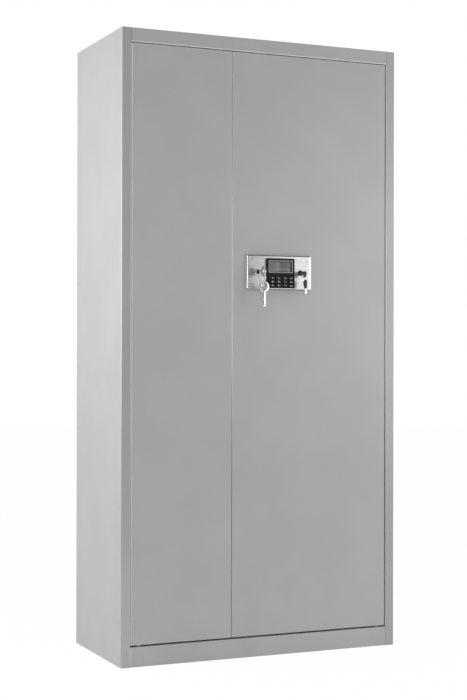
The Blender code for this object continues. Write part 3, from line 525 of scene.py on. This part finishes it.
def dressed(node, material):
    """A merged, smooth-shaded copy of a CAD node that stands for it."""
    bm = bmesh.new()
    bm.from_mesh(frame["nodes"][node].data)
    bmesh.ops.remove_doubles(bm, verts=bm.verts, dist=MERGE_WITHIN)
    return piece(node + "_finished", bm, material, body_of[node], [node])


# Lock plate, its rivets and the barrels

PLATE_FOLD = 0.0031
PLATE_SHEET = 0.0012
LEFT_SIDE_IN = 0.0030
LEFT_FOOT_OUT = 0.0012
MAIN_BARREL_RADIUS = 0.0080
MAIN_FLANGE_RADIUS = 0.0092
MAIN_BORE_RADIUS = 0.0064
EMERGENCY_BARREL_RADIUS = 0.0062
EMERGENCY_FLANGE_RADIUS = 0.0085
EMERGENCY_BORE_RADIUS = 0.0051
# How far in front of the plate a flange's fillet starts and ends, its face lies and its bevel turns
FLANGE_TURNS = (0.0024, 0.0020, 0.0018, 0.0015, 0.0009)
FLANGE_FILLET = 0.0003
FLANGE_BEVEL = 0.0009
BARREL_TAIL_STEP = 0.0005
PLATE_FOLD_STEPS = 6
PLATE_FACE_INSET = 0.0004
PLATE_HOLE_STEPS = 48
RIVET_RADIUS = 0.0024
RIVET_RISE = -0.0007
RIVET_INSET = 0.0150
RIVET_PROFILE = ((0.0, 1.0), (0.45, 0.92), (0.80, 0.60), (1.0, 0.10), (1.0, -1.0), (0.0, -1.0))


def centre_of(node):
    low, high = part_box(node)
    return ((low.x + high.x) / 2, (low.z + high.z) / 2)


def folded_plate():
    """Shallow tray with rounded folds and a hole for each lock barrel, open towards the door."""
    bm = bmesh.new()
    corners = block(bm, plate_low, plate_high)
    for corner in corners:
        if corner.co.x < (plate_low.x + plate_high.x) / 2:
            below = corner.co.z < (plate_low.z + plate_high.z) / 2
            at_door = corner.co.y > (plate_low.y + plate_high.y) / 2
            corner.co.x += LEFT_SIDE_IN - (LEFT_FOOT_OUT if below and at_door else 0.0)
    open_side = max(bm.faces, key=lambda face: face.calc_center_median().y)
    bmesh.ops.delete(bm, geom=[open_side], context="FACES_ONLY")
    rounded(bm, [edge for edge in bm.edges if len(edge.link_faces) == 2], PLATE_FOLD,
            PLATE_FOLD_STEPS)
    front = max(bm.faces, key=lambda face: face.calc_area())
    bmesh.ops.inset_region(bm, faces=[front], thickness=PLATE_FACE_INSET, use_even_offset=True)
    rims = list(front.edges)
    bmesh.ops.delete(bm, geom=[front], context="FACES_ONLY")
    for node, radius in (("main_lock_barrel", MAIN_BARREL_RADIUS),
                         ("emergency_lock_barrel", EMERGENCY_BARREL_RADIUS)):
        x, z = centre_of(node)
        facing = Matrix.Translation((x, plate_low.y, z)) @ Matrix.Rotation(math.radians(90), 4, "X")
        hole = bmesh.ops.create_circle(bm, segments=PLATE_HOLE_STEPS, radius=radius,
                                       cap_ends=False, matrix=facing)["verts"]
        rims += {edge for vert in hole for edge in vert.link_edges}
    bmesh.ops.triangle_fill(bm, edges=rims, use_beauty=True, use_dissolve=False)
    bmesh.ops.recalc_face_normals(bm, faces=bm.faces)
    bmesh.ops.solidify(bm, geom=bm.faces[:], thickness=PLATE_SHEET)
    return bm


piece("lock_plate_folded", folded_plate(), finishes["brushed_stainless"], "wide_door",
      ["lock_plate"], math.radians(30))

bm = bmesh.new()
for x in (plate_low.x + LEFT_SIDE_IN + RIVET_INSET, plate_high.x - RIVET_INSET):
    for z in (plate_low.z + RIVET_INSET, plate_high.z - RIVET_INSET):
        stud(bm, RIVET_PROFILE, RIVET_RADIUS, RIVET_RISE, plate_low.y, (x, z))
piece("plate_rivets", bm, field_finish, "wide_door")


def barrel(node, radius, flange, bore, material):
    """Lock barrel turned from bar: a rounded nose, a bore for the plug and a chamfered flange."""
    low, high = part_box(node)
    face = plate_low.y
    lip = (radius - bore) * 0.35
    fillet_start, fillet_end, rim, bevel_turn, bevel_end = [face - rise for rise in FLANGE_TURNS]
    bm = bmesh.new()
    lathe(bm, [
        (bore, low.y + lip * 1.4),
        (bore + lip * 0.7, low.y + lip * 0.3),
        (radius - lip * 1.5, low.y),
        (radius - lip * 0.5, low.y + lip * 0.35),
        (radius, low.y + lip * 1.3),
        (radius, fillet_start),
        (radius + FLANGE_FILLET, fillet_end),
        (flange - FLANGE_BEVEL, rim),
        (flange - FLANGE_BEVEL * 0.3, bevel_turn),
        (flange, bevel_end),
        (flange, face - SEAM),
        (radius - BARREL_TAIL_STEP, face - SEAM),
        (radius - BARREL_TAIL_STEP, high.y),
        (bore, high.y),
        (bore, low.y + lip * 1.4),
    ], centre_of(node))
    return piece(node + "_turned", bm, material, "wide_door", [node])


barrel("main_lock_barrel", MAIN_BARREL_RADIUS, MAIN_FLANGE_RADIUS, MAIN_BORE_RADIUS,
       finishes["chrome"])
barrel("emergency_lock_barrel", EMERGENCY_BARREL_RADIUS, EMERGENCY_FLANGE_RADIUS,
       EMERGENCY_BORE_RADIUS, finishes["dark_metal"])
for node in ("main_lock_cam", "emergency_lock_cam"):
    dressed(node, core_finish)

PLUG_FACE_RADIUS = 0.0060
PLUG_FACE_SUNK = 0.0007
PLUG_FACE_EDGE = 0.0003
PLUG_FACE_THICKNESS = 0.0026
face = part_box("main_lock_barrel")[0].y + PLUG_FACE_SUNK
bm = bmesh.new()
lathe(bm, [
    (0.0, face),
    (PLUG_FACE_RADIUS - PLUG_FACE_EDGE, face),
    (PLUG_FACE_RADIUS, face + PLUG_FACE_EDGE),
    (PLUG_FACE_RADIUS, face + PLUG_FACE_THICKNESS),
    (0.0, face + PLUG_FACE_THICKNESS),
], centre_of("main_lock_barrel"))
piece("main_plug_face", bm, core_finish, "main_lock")

# Keypad: bezel line, display and buttons with their marks

BEZEL_LINE = 0.0030
BEZEL_OVER_LEFT = 0.0034
BEZEL_OVER_BOTTOM = 0.0024
SCREEN_GAP = 0.0009
SCREEN_GAP_TOP = 0.0018
SCREEN_GAP_RIGHT = 0.0064
BEZEL_CORNER = 0.0014
BEZEL_INNER_CORNER = 0.0008
BEZEL_THICKNESS = 0.0006
BEZEL_EDGE = 0.00015
SURROUND_THICKNESS = 0.0004
SCREEN_CORNER = 0.0010
SCREEN_THICKNESS = 0.0005
SCREEN_EDGE = 0.0001


def panel(low_x, low_z, high_x, high_z, radius):
    """Corners of a rounded panel in the X-Z plane."""
    left, right = low_x + radius, high_x - radius
    foot, top = low_z + radius, high_z - radius
    points = []
    for x, z, start in ((right, top, 0), (left, top, 90), (left, foot, 180), (right, foot, 270)):
        points += arc((x, z), radius, start, start + 90, 4)
    return points


bezel_low = (window_low.x - BEZEL_OVER_LEFT, window_low.z - BEZEL_OVER_BOTTOM)
bezel_high = (window_high.x, window_high.z)
inner_low = [value + BEZEL_LINE for value in bezel_low]
inner_high = [value - BEZEL_LINE for value in bezel_high]

bezel_rim = panel(*bezel_low, *bezel_high, BEZEL_CORNER)
bezel_opening = panel(*inner_low, *inner_high, BEZEL_INNER_CORNER)
screen_rim = panel(inner_low[0] + SCREEN_GAP, inner_low[1] + SCREEN_GAP,
                   inner_high[0] - SCREEN_GAP_RIGHT, inner_high[1] - SCREEN_GAP_TOP, SCREEN_CORNER)


def window_layer(name, material, outline, holes, thickness, edge, ahead):
    """One flat layer of the display, so far ahead of the window's face."""
    bm = bmesh.new()
    blank(bm, outline, holes, thickness, edge)
    bmesh.ops.translate(bm, vec=(0, window_low.y - ahead, 0), verts=bm.verts)
    piece(name, bm, material, "wide_door")


window_layer("window_bezel", line_finish, bezel_rim, [bezel_opening], BEZEL_THICKNESS, BEZEL_EDGE,
             0.2 * MM)
window_layer("window_surround", finishes["smoked_window"], bezel_opening, [], SURROUND_THICKNESS,
             0.0, 0.1 * MM)
window_layer("display_screen", screen_finish, screen_rim, [], SCREEN_THICKNESS, SCREEN_EDGE,
             0.2 * MM)


# Buttons: the cap's rim and dish, and the print on it
CAP_MARGIN = 0.0012
CAP_CORNER = 0.0016
CAP_EDGE = 0.0005
DISH_RIM = 0.0012
DISH_DEPTH = 0.00025
MARK_SIZE = 0.0078
MARK_STRETCH = 1.35
MARK_BAR = (0.0044, 0.0066, 0.0007)
INK_RISE = 0.00006
INK_SUNK = 0.00003
STROKE_SPREAD = 0.00022


def printed(mark, size):
    """A digit as a thin raised print, centred on the origin in the X-Z plane, facing the front."""
    curve = bpy.data.curves.new("print", "FONT")
    curve.body = mark
    curve.size = size
    curve.align_x = "CENTER"
    curve.align_y = "CENTER"
    curve.extrude = INK_RISE
    curve.offset = STROKE_SPREAD
    holder = bpy.data.objects.new("print", curve)
    bpy.context.scene.collection.objects.link(holder)
    bpy.context.view_layer.update()
    graph = bpy.context.evaluated_depsgraph_get()
    mesh = bpy.data.meshes.new_from_object(holder.evaluated_get(graph))
    bpy.data.objects.remove(holder)
    mesh.transform(Matrix.Rotation(math.radians(90), 4, "X"))
    bm = bmesh.new()
    bm.from_mesh(mesh)
    bpy.data.meshes.remove(mesh)
    return bm


for node in sorted(name for name in frame["nodes"] if name.startswith("button_")):
    low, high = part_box(node)
    bm = bmesh.new()
    cap = block(bm, (low.x + CAP_MARGIN, low.y, low.z + CAP_MARGIN),
                (high.x - CAP_MARGIN, high.y, high.z - CAP_MARGIN))
    uprights = {e for v in cap for e in v.link_edges
                if abs(e.verts[0].co.y - e.verts[1].co.y) > CAP_MARGIN}
    rounded(bm, uprights, CAP_CORNER, 4)
    face = min(bm.faces, key=lambda f: f.calc_center_median().y)
    rounded(bm, face.edges, CAP_EDGE, 3)
    face = min(bm.faces, key=lambda f: f.calc_center_median().y + f.normal.y)
    bmesh.ops.inset_region(bm, faces=[face], thickness=DISH_RIM, use_even_offset=True)
    bmesh.ops.translate(bm, vec=(0, DISH_DEPTH, 0), verts=face.verts)
    block(bm, (low.x, high.y - CAP_MARGIN, low.z), (high.x, high.y, high.z))
    piece(node + "_cap", bm, finishes["black_plastic"], node, [node])
    mark = {"clear": "x", "enter": "o"}.get(node[7:], node[7:])
    bm = printed(mark, MARK_SIZE)
    bmesh.ops.scale(bm, vec=(MARK_STRETCH, 1, 1), verts=bm.verts)
    bar_start, bar_end, bar_half = MARK_BAR
    block(bm, (bar_start, 0.0, -bar_half), (bar_end, INK_RISE * 2, bar_half))
    centre = ((low.x + high.x) / 2, low.y + DISH_DEPTH - INK_SUNK, (low.z + high.z) / 2)
    bmesh.ops.translate(bm, vec=centre, verts=bm.verts)
    piece(node + "_mark", bm, ink_finish, node, smooth=0)


# Keys and split rings

BOW_EYE_RADIUS = 0.0072
BOW_EYE_RISE = 0.0045
SHANK_HALF = 0.0048
SPARE_REACH = 0.0042
NECK_WIDENING = 1.25
SHOULDER_DROP = 0.0040
SHOULDER_STEP = 0.0012
BIT_LENGTH = 0.0245
BIT_DEPTH = 0.0013
BIT_CUTS = (0.0, 1.0, 0.45, 1.0, 0.2, 0.75, 0.0)
CUT_SLOPE = 0.0008
CUT_PITCH = 0.0030
KEY_THICKNESS = 0.0022
KEY_EDGE = 0.00035
RIB_HALF = 0.0009
RIB_ROOT = 0.0010
RIB_CREST = 0.00125
RIB_FROM_TIP = 0.0035
RIB_INTO_BOW = 0.0015
RIB_EDGE = 0.0001
FIELD_SPAN = (-0.0084, -0.0135, 0.0084, 0.0126)
FIELD_CORNER = 0.0060
FIELD_THICKNESS = 0.0024
BOW_STEPS = 72
EYE_STEPS = 48
bow_low, bow_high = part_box("main_spare_key")
BOW_RADIUS = (bow_high.x - bow_low.x) / 2
SHANK_END = (bow_high.z - bow_low.z) - BOW_RADIUS


def flat_key(bm, reach=0.0):
    """Double-bitted flat key, its bow centred on the origin and its shank hanging down."""
    end = -SHANK_END - reach
    neck = math.degrees(math.asin(SHANK_HALF * NECK_WIDENING / BOW_RADIUS))
    outline = arc((0, 0), BOW_RADIUS, -90 + neck, 270 - neck, BOW_STEPS)
    shoulder = -BOW_RADIUS - SHOULDER_DROP
    level = end + BIT_LENGTH
    side = [(-SHANK_HALF, shoulder + SHOULDER_STEP), (-SHANK_HALF, shoulder), (-SHANK_HALF, level)]
    for share in BIT_CUTS:
        x = -SHANK_HALF + BIT_DEPTH * share
        side.append((x, level - CUT_SLOPE))
        level -= CUT_PITCH
        side.append((x, level))
    side.append((-SHANK_HALF * 0.45, end))
    outline += side + [(-x, z) for x, z in reversed(side)]
    eye = round_hole((0, BOW_EYE_RISE), BOW_EYE_RADIUS, EYE_STEPS)
    blank(bm, outline, [eye], KEY_THICKNESS, KEY_EDGE)
    for face in (-1, 1):
        rib = block(bm, (-RIB_HALF, face * RIB_ROOT, end + RIB_FROM_TIP),
                    (RIB_HALF, face * RIB_CREST, -BOW_RADIUS + RIB_INTO_BOW))
        rounded(bm, {edge for vert in rib for edge in vert.link_edges}, RIB_EDGE, 1)


HEAD_LENGTH = 0.029
HEAD_THICKNESS = 0.0045
TUBE_LENGTH = 0.0135
TUBE_RADIUS = 0.0037
TUBE_INTO_HEAD = 0.002
TUBE_WALL = 0.0010
TUBE_LIP = 0.0009
TUBE_EDGE = 0.0004
TUBE_BORE_DEPTH = 0.006
PIP_HALF = 0.0007
PIP_ROOT = 0.0006
PIP_RISE = 0.0007
PIP_FROM_END = (0.0022, 0.0042)
HEAD_EYE = (-0.0035, 0.0095)
HEAD_EYE_RADIUS = 0.0032
HEAD_EYE_STEPS = 24
HEAD_ROUND = 0.0010
HEAD_PANEL_SHARE = 0.74
HEAD_PANEL_RISE = 0.0006
HEAD_PANEL_EYE_RADIUS = 0.0042
HEAD_PANEL_EDGE = 0.0002


# Edge of the moulded head, from its tip round the full side to the straight one (mm)
HEAD_EDGE = (
    (1.4, -16.6), (-1.4, -16.6), (-3.8, -13.8), (-7.6, -9.4), (-11.3, -4.4), (-13.6, 0.2),
    (-14.4, 4.0), (-13.8, 7.8), (-11.6, 11.2), (-8.2, 13.4), (-4.4, 14.5), (-0.4, 14.4),
    (2.8, 13.0), (4.3, 10.0), (4.6, 4.0), (4.4, -4.0), (3.9, -10.0), (3.0, -14.2),
)


def head_outline(shrink):
    """The head's edge, drawn in towards the line through its eye."""
    return [(HEAD_EYE[0] + (x * MM - HEAD_EYE[0]) * shrink, z * MM * shrink) for x, z in HEAD_EDGE]


def head_key(bm):
    """Moulded head of the tube key, with a raised panel on each face."""
    eye = round_hole(HEAD_EYE, HEAD_EYE_RADIUS, HEAD_EYE_STEPS)
    blank(bm, head_outline(1.0), [eye], HEAD_THICKNESS, HEAD_ROUND)
    raised = bmesh.new()
    raised_eye = round_hole(HEAD_EYE, HEAD_PANEL_EYE_RADIUS, HEAD_EYE_STEPS)
    blank(raised, head_outline(HEAD_PANEL_SHARE), [raised_eye], HEAD_THICKNESS + HEAD_PANEL_RISE,
          HEAD_PANEL_EDGE)
    mesh = bpy.data.meshes.new("raised")
    raised.to_mesh(mesh)
    raised.free()
    bm.from_mesh(mesh)
    bpy.data.meshes.remove(mesh)


def head_tube(bm):
    """Bright tube of the same key: a hollow end and a guide pip."""
    top = -HEAD_LENGTH / 2 + TUBE_INTO_HEAD
    end = -HEAD_LENGTH / 2 - TUBE_LENGTH
    profile = [
        (0.0, top),
        (TUBE_RADIUS, top),
        (TUBE_RADIUS, end + TUBE_EDGE),
        (TUBE_RADIUS - TUBE_EDGE, end),
        (TUBE_RADIUS - TUBE_LIP, end),
        (TUBE_RADIUS - TUBE_WALL, end + TUBE_BORE_DEPTH),
        (0.0, end + TUBE_BORE_DEPTH),
    ]
    verts = [bm.verts.new((radius, 0, level)) for radius, level in profile]
    edges = [bm.edges.new(pair) for pair in zip(verts, verts[1:])]
    bmesh.ops.spin(bm, geom=verts + edges, cent=(0, 0, 0), axis=(0, 0, 1),
                   angle=math.radians(360), steps=TUBE_STEPS, use_merge=True)
    block(bm, (-PIP_HALF, TUBE_RADIUS - PIP_ROOT, end + PIP_FROM_END[0]),
          (PIP_HALF, TUBE_RADIUS + PIP_RISE, end + PIP_FROM_END[1]))


# Turns a hanging key so that its shank points into the door and its bow stands upright
INTO_LOCK = Matrix(((0, -1, 0), (0, 0, -1), (1, 0, 0))).to_4x4()


def bow_field(bm):
    """Dull stamped field on both faces of the bow, round its eye and down to the shank."""
    eye = round_hole((0, BOW_EYE_RISE), BOW_EYE_RADIUS, EYE_STEPS)
    blank(bm, panel(*FIELD_SPAN, FIELD_CORNER), [eye], FIELD_THICKNESS, 0.0)


def placed(maker, matrix, *sizes):
    """A new shape from its maker, moved to its place."""
    bm = bmesh.new()
    maker(bm, *sizes)
    bmesh.ops.transform(bm, matrix=matrix, verts=bm.verts)
    return bm


main_low, main_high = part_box("main_key")
main_place = Matrix.Translation(((main_low.x + main_high.x) / 2, main_low.y + BOW_RADIUS,
                                 (main_low.z + main_high.z) / 2)) @ INTO_LOCK
piece("main_key_cut", placed(flat_key, main_place), finishes["nickel"], "main_lock",
      ["main_key"])
spare_place = Matrix.Translation(((bow_low.x + bow_high.x) / 2, (bow_low.y + bow_high.y) / 2,
                                  bow_high.z - BOW_RADIUS))
piece("main_spare_key_cut", placed(flat_key, spare_place, SPARE_REACH), finishes["nickel"],
      "main_spare", ["main_spare_key"])
piece("main_spare_field", placed(bow_field, spare_place), field_finish, "main_spare")

key_low, key_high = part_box("emergency_key")
key_x = (key_low.x + key_high.x) / 2
lock_z = centre_of("emergency_lock_barrel")[1]
key_place = Matrix.Translation((key_x, key_low.y + HEAD_LENGTH / 2, lock_z)) @ INTO_LOCK
piece("emergency_key_head", placed(head_key, key_place), head_finish,
      "emergency_lock", ["emergency_key"])
piece("emergency_key_tube", placed(head_tube, key_place), finishes["chrome"],
      "emergency_lock")

spare_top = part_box("emergency_spare_key")[1].z
eye_y = key_low.y + HEAD_LENGTH / 2 - HEAD_EYE[1]
spare_head_place = Matrix.Translation((key_x, eye_y + HEAD_EYE[0], spare_top - HEAD_LENGTH / 2)) \
    @ Matrix.Rotation(math.radians(-90), 4, "Z")
piece("emergency_spare_head", placed(head_key, spare_head_place), head_finish,
      "emergency_spare", ["emergency_spare_key"])
piece("emergency_spare_tube", placed(head_tube, spare_head_place), finishes["chrome"],
      "emergency_spare")


# Split rings: wire radii, how flat the wire is, and how far it winds round
MAIN_RING_WIRE = 0.00068
EMERGENCY_RING_WIRE = 0.00058
WIRE_FLATNESS = 0.6
WIRE_SIDES = 10
WINDING = math.radians(700)
WINDING_STEPS = 96
MAIN_RING_TURN = math.radians(45)


def split_ring(node, body, wire, turn):
    """Two close turns of flattened spring wire, standing upright and turned about the vertical."""
    low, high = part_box(node)
    middle = (low + high) / 2
    radius = (high.z - low.z) / 2 - wire
    bm = bmesh.new()
    bmesh.ops.create_circle(bm, segments=WIRE_SIDES, radius=wire, cap_ends=False,
                            matrix=Matrix.Translation((radius, 0, 0)))
    bmesh.ops.rotate(bm, verts=bm.verts, cent=(radius, 0, 0),
                     matrix=Matrix.Rotation(math.radians(90), 3, "X"))
    bmesh.ops.scale(bm, vec=(1, 1, WIRE_FLATNESS), verts=bm.verts)
    rise = 4 * wire * WIRE_FLATNESS
    bmesh.ops.spin(bm, geom=bm.verts[:] + bm.edges[:], cent=(0, 0, 0), axis=(0, 0, 1),
                   dvec=(0, 0, rise / WINDING_STEPS), angle=WINDING, steps=WINDING_STEPS,
                   use_merge=False)
    bmesh.ops.holes_fill(bm, edges=bm.edges, sides=WIRE_SIDES)
    bmesh.ops.translate(bm, vec=(0, 0, -rise / 2), verts=bm.verts)
    upright = Matrix.Rotation(math.radians(90), 4, "X")
    bmesh.ops.transform(bm, verts=bm.verts,
                        matrix=Matrix.Translation(middle) @ Matrix.Rotation(turn, 4, "Z") @ upright)
    return piece(node + "_split", bm, finishes["chrome"], body, [node], math.radians(50))


split_ring("main_key_ring", "main_ring", MAIN_RING_WIRE, MAIN_RING_TURN)
split_ring("emergency_key_ring", "emergency_ring", EMERGENCY_RING_WIRE, 0.0)

# Round works behind the doors, shaded smooth

for node in ("rod_upper", "rod_lower", "solenoid_plunger", "pivot_lower_left", "pivot_lower_right",
             "pivot_upper_left", "pivot_upper_right"):
    dressed(node, finishes["zinc_plated"])

# Screws that hold the lock case, and spot welds along the stiffeners


SCREW_RADIUS = 0.0038
SCREW_INSET = 0.014
# Shares of the radius, and heights over the seat in millimetres
SCREW_PROFILE = ((0.0, 2.3), (0.5, 2.2), (0.85, 1.6), (1.0, 0.8), (1.0, -0.6), (0.0, -0.6))
SLOT_LONG = 0.0022
SLOT_SHORT = 0.00045
SLOT_RISE = (0.0020, 0.0024)


def screw(bm, x, z, seat):
    """Pan head with a raised cross, seen from inside the cabinet."""
    stud(bm, SCREW_PROFILE, SCREW_RADIUS, MM, seat, (x, z))
    for half_x, half_z in ((SLOT_LONG, SLOT_SHORT), (SLOT_SHORT, SLOT_LONG)):
        block(bm, (x - half_x, seat + SLOT_RISE[0], z - half_z),
              (x + half_x, seat + SLOT_RISE[1], z + half_z))


case_low, case_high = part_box("lock_case")
bm = bmesh.new()
for x in (case_low.x + SCREW_INSET, case_high.x - SCREW_INSET):
    for z in (case_low.z + SCREW_INSET, case_high.z - SCREW_INSET):
        screw(bm, x, z, case_high.y)
piece("lock_case_screws", bm, finishes["zinc_plated"], "wide_door")

WELD_RADIUS = 0.0032
WELD_RISE = 0.00035
WELD_PROFILE = ((0.0, 0.2), (0.7, 0.3), (0.9, 1.0), (1.0, -1.0), (0.0, -1.0))
WELDS_IN_LINE = 12
STIFFENER_FOOT = 0.014


def spot_welds(name, node, body):
    """Shallow round marks of the welding tongs along both feet of a stiffener."""
    low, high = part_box(node)
    bm = bmesh.new()
    for x in (low.x + STIFFENER_FOOT / 2, high.x - STIFFENER_FOOT / 2):
        for number in range(WELDS_IN_LINE):
            z = low.z + (high.z - low.z) * (number + 0.5) / WELDS_IN_LINE
            stud(bm, WELD_PROFILE, WELD_RADIUS, WELD_RISE, low.y + MM, (x, z), WELD_STEPS)
    piece(name, bm, finishes["grey_paint"], body)


spot_welds("narrow_door_welds", "narrow_door_stiffener", "narrow_door")
spot_welds("wide_door_welds", "wide_door_stiffener", "wide_door")

# Floor


FLOOR_RADIUS = 14.0
FLOOR_STEPS = 96
FLOOR_DROP = 0.0005
FLOOR_TONE = (0.95, 0.95, 0.95, 1.0)
FLOOR_WHITE_SHARE = 0.98


def studio_floor():
    """Round pale floor, white to the camera and in metal, that keeps the object's shadow."""
    material = bpy.data.materials.new("studio_floor")
    material.use_nodes = True
    s = Shader(material.node_tree)
    nodes = material.node_tree.nodes
    surface = nodes["Principled BSDF"]
    surface.inputs["Base Color"].default_value = FLOOR_TONE
    surface.inputs["Roughness"].default_value = 0.9
    surface.inputs["Specular IOR Level"].default_value = 0.1
    glow = s.node("ShaderNodeEmission", {}, {"Color": (1, 1, 1, 1), "Strength": 1.0})
    seen = s.node("ShaderNodeLightPath", output="Is Camera Ray")
    mirrored = s.node("ShaderNodeLightPath", output="Is Glossy Ray")
    shown = seen * FLOOR_WHITE_SHARE + mirrored
    mixed = s.node("ShaderNodeMixShader", {}, {0: shown, 2: glow})
    material.node_tree.links.new(surface.outputs[0], mixed.socket.node.inputs[1])
    material.node_tree.links.new(mixed.socket, nodes["Material Output"].inputs["Surface"])
    bm = bmesh.new()
    bmesh.ops.create_circle(bm, cap_ends=True, segments=FLOOR_STEPS, radius=FLOOR_RADIUS)
    mesh = bpy.data.meshes.new("studio_floor")
    bm.to_mesh(mesh)
    bm.free()
    mesh.materials.append(material)
    floor = bpy.data.objects.new("studio_floor", mesh)
    bpy.context.scene.collection.objects.link(floor)
    floor.location.z = -FLOOR_DROP


studio_floor()

# Camera


def photo_camera():
    """The photograph's camera: its place, its turn about the vertical, its pitch and its roll."""
    data = bpy.data.cameras.new("photo_camera")
    data.sensor_fit = "VERTICAL"
    data.sensor_height = FILM_HEIGHT
    data.lens = FOCAL_PIXELS / PICTURE_HEIGHT * FILM_HEIGHT
    camera = bpy.data.objects.new("photo_camera", data)
    bpy.context.scene.collection.objects.link(camera)
    ahead = Vector((-math.sin(CAMERA_TURN) * math.cos(CAMERA_PITCH),
                    math.cos(CAMERA_TURN) * math.cos(CAMERA_PITCH), math.sin(CAMERA_PITCH)))
    level = Vector((math.cos(CAMERA_TURN), math.sin(CAMERA_TURN), 0))
    up = level.cross(ahead)
    right = level * math.cos(CAMERA_ROLL) + up * math.sin(CAMERA_ROLL)
    up = up * math.cos(CAMERA_ROLL) - level * math.sin(CAMERA_ROLL)
    turn = Matrix((right, up, -ahead)).transposed().to_4x4()
    camera.matrix_world = Matrix.Translation(CAMERA_PLACE) @ turn
    bpy.context.scene.camera = camera


photo_camera()

# Light


def soft_box(name, place, target, size, watts):
    """A rectangular lamp that points at a target."""
    data = bpy.data.lights.new(name, "AREA")
    data.shape = "RECTANGLE"
    data.size, data.size_y = size
    data.energy = watts
    lamp = bpy.data.objects.new(name, data)
    bpy.context.scene.collection.objects.link(lamp)
    direction = Vector(target) - Vector(place)
    turn = direction.to_track_quat("-Z", "Y").to_matrix().to_4x4()
    lamp.matrix_world = Matrix.Translation(place) @ turn


# Each lamp: its name, where it stands, where it points, its width and height, and its watts
LAMPS = (
    ("side_bank", (-1.9, 0.15, 1.35), (-0.45, 0.0, 1.2), (1.0, 1.3), 11.3),
    ("side_edge_bank", (-1.5, -0.35, 1.35), (-0.45, -0.1, 1.25), (0.8, 0.9), 6.2),
    ("right_bank", (2.1, -1.9, 1.2), (0.35, 0, 1.15), (1.3, 1.4), 14.0),
    ("near_bank", (1.03, -1.2, 1.3), (0.48, 0, 1.25), (1.0, 0.9), 2.7),
)
for lamp in LAMPS:
    soft_box(*lamp)

AMBIENT = 0.65
STUDIO_DARK = 0.28
RIGHT_BANK_BEARING = 60.0
LEFT_BANK_BEARING = -75.0
# Height of a direction between which the white banks end and the dark ceiling begins
CEILING_FROM = (0.40, 0.75)
CEILING_SHARE = 0.15

world = bpy.data.worlds.new("studio_light")
bpy.context.scene.world = world
world.use_nodes = True
sky = Shader(world.node_tree)
sky.tree.nodes.clear()
ambient = sky.node("ShaderNodeBackground", {}, {"Color": (1, 1, 1, 1), "Strength": AMBIENT})
white = sky.node("ShaderNodeBackground", {}, {"Color": (1, 1, 1, 1), "Strength": 1.0})
direction = sky.node("ShaderNodeTexCoord", output="Generated")
across = sky.node("ShaderNodeSeparateXYZ", {}, {"Vector": direction}, "X")
deep = sky.node("ShaderNodeSeparateXYZ", {}, {"Vector": direction}, "Y")
up = sky.node("ShaderNodeSeparateXYZ", {}, {"Vector": direction}, "Z")


def side_of(degrees):
    """How far a direction lies to the right of a bearing, counted from the doors' own."""
    turn = math.radians(degrees)
    return across * math.cos(turn) + deep * math.sin(turn)


# The camera's side of the studio is darker: metal shows it between the two white banks. The
# small numbers are the softness of each edge.
past_right_edge = sky.ramp(side_of(RIGHT_BANK_BEARING), -0.12, 0.12)
past_left_edge = sky.ramp(side_of(LEFT_BANK_BEARING), -0.15, 0.15, 1.0, 0.0)
behind = sky.ramp(deep, -0.25, 0.25)
lit_share = past_right_edge.maths("MAXIMUM", past_right_edge, past_left_edge)
lit_share = lit_share.maths("MAXIMUM", lit_share, behind)
lit_share = lit_share * sky.ramp(up, *CEILING_FROM, 1.0, CEILING_SHARE)
mirrored = sky.node("ShaderNodeBackground", {}, {
    "Color": sky.blend(lit_share, rgb(STUDIO_DARK), rgb(1.0)), "Strength": 1.0})
camera_ray = sky.node("ShaderNodeLightPath", output="Is Camera Ray")
glossy_ray = sky.node("ShaderNodeLightPath", output="Is Glossy Ray")
clear_ray = sky.node("ShaderNodeLightPath", output="Is Transmission Ray")
lit = sky.node("ShaderNodeMixShader", {}, {0: glossy_ray, 1: ambient, 2: mirrored})
backdrop = sky.node("ShaderNodeMixShader", {}, {0: camera_ray + clear_ray, 1: lit, 2: white})
output = world.node_tree.nodes.new("ShaderNodeOutputWorld")
world.node_tree.links.new(backdrop.socket, output.inputs["Surface"])

bpy.context.scene.view_settings.view_transform = "Standard"
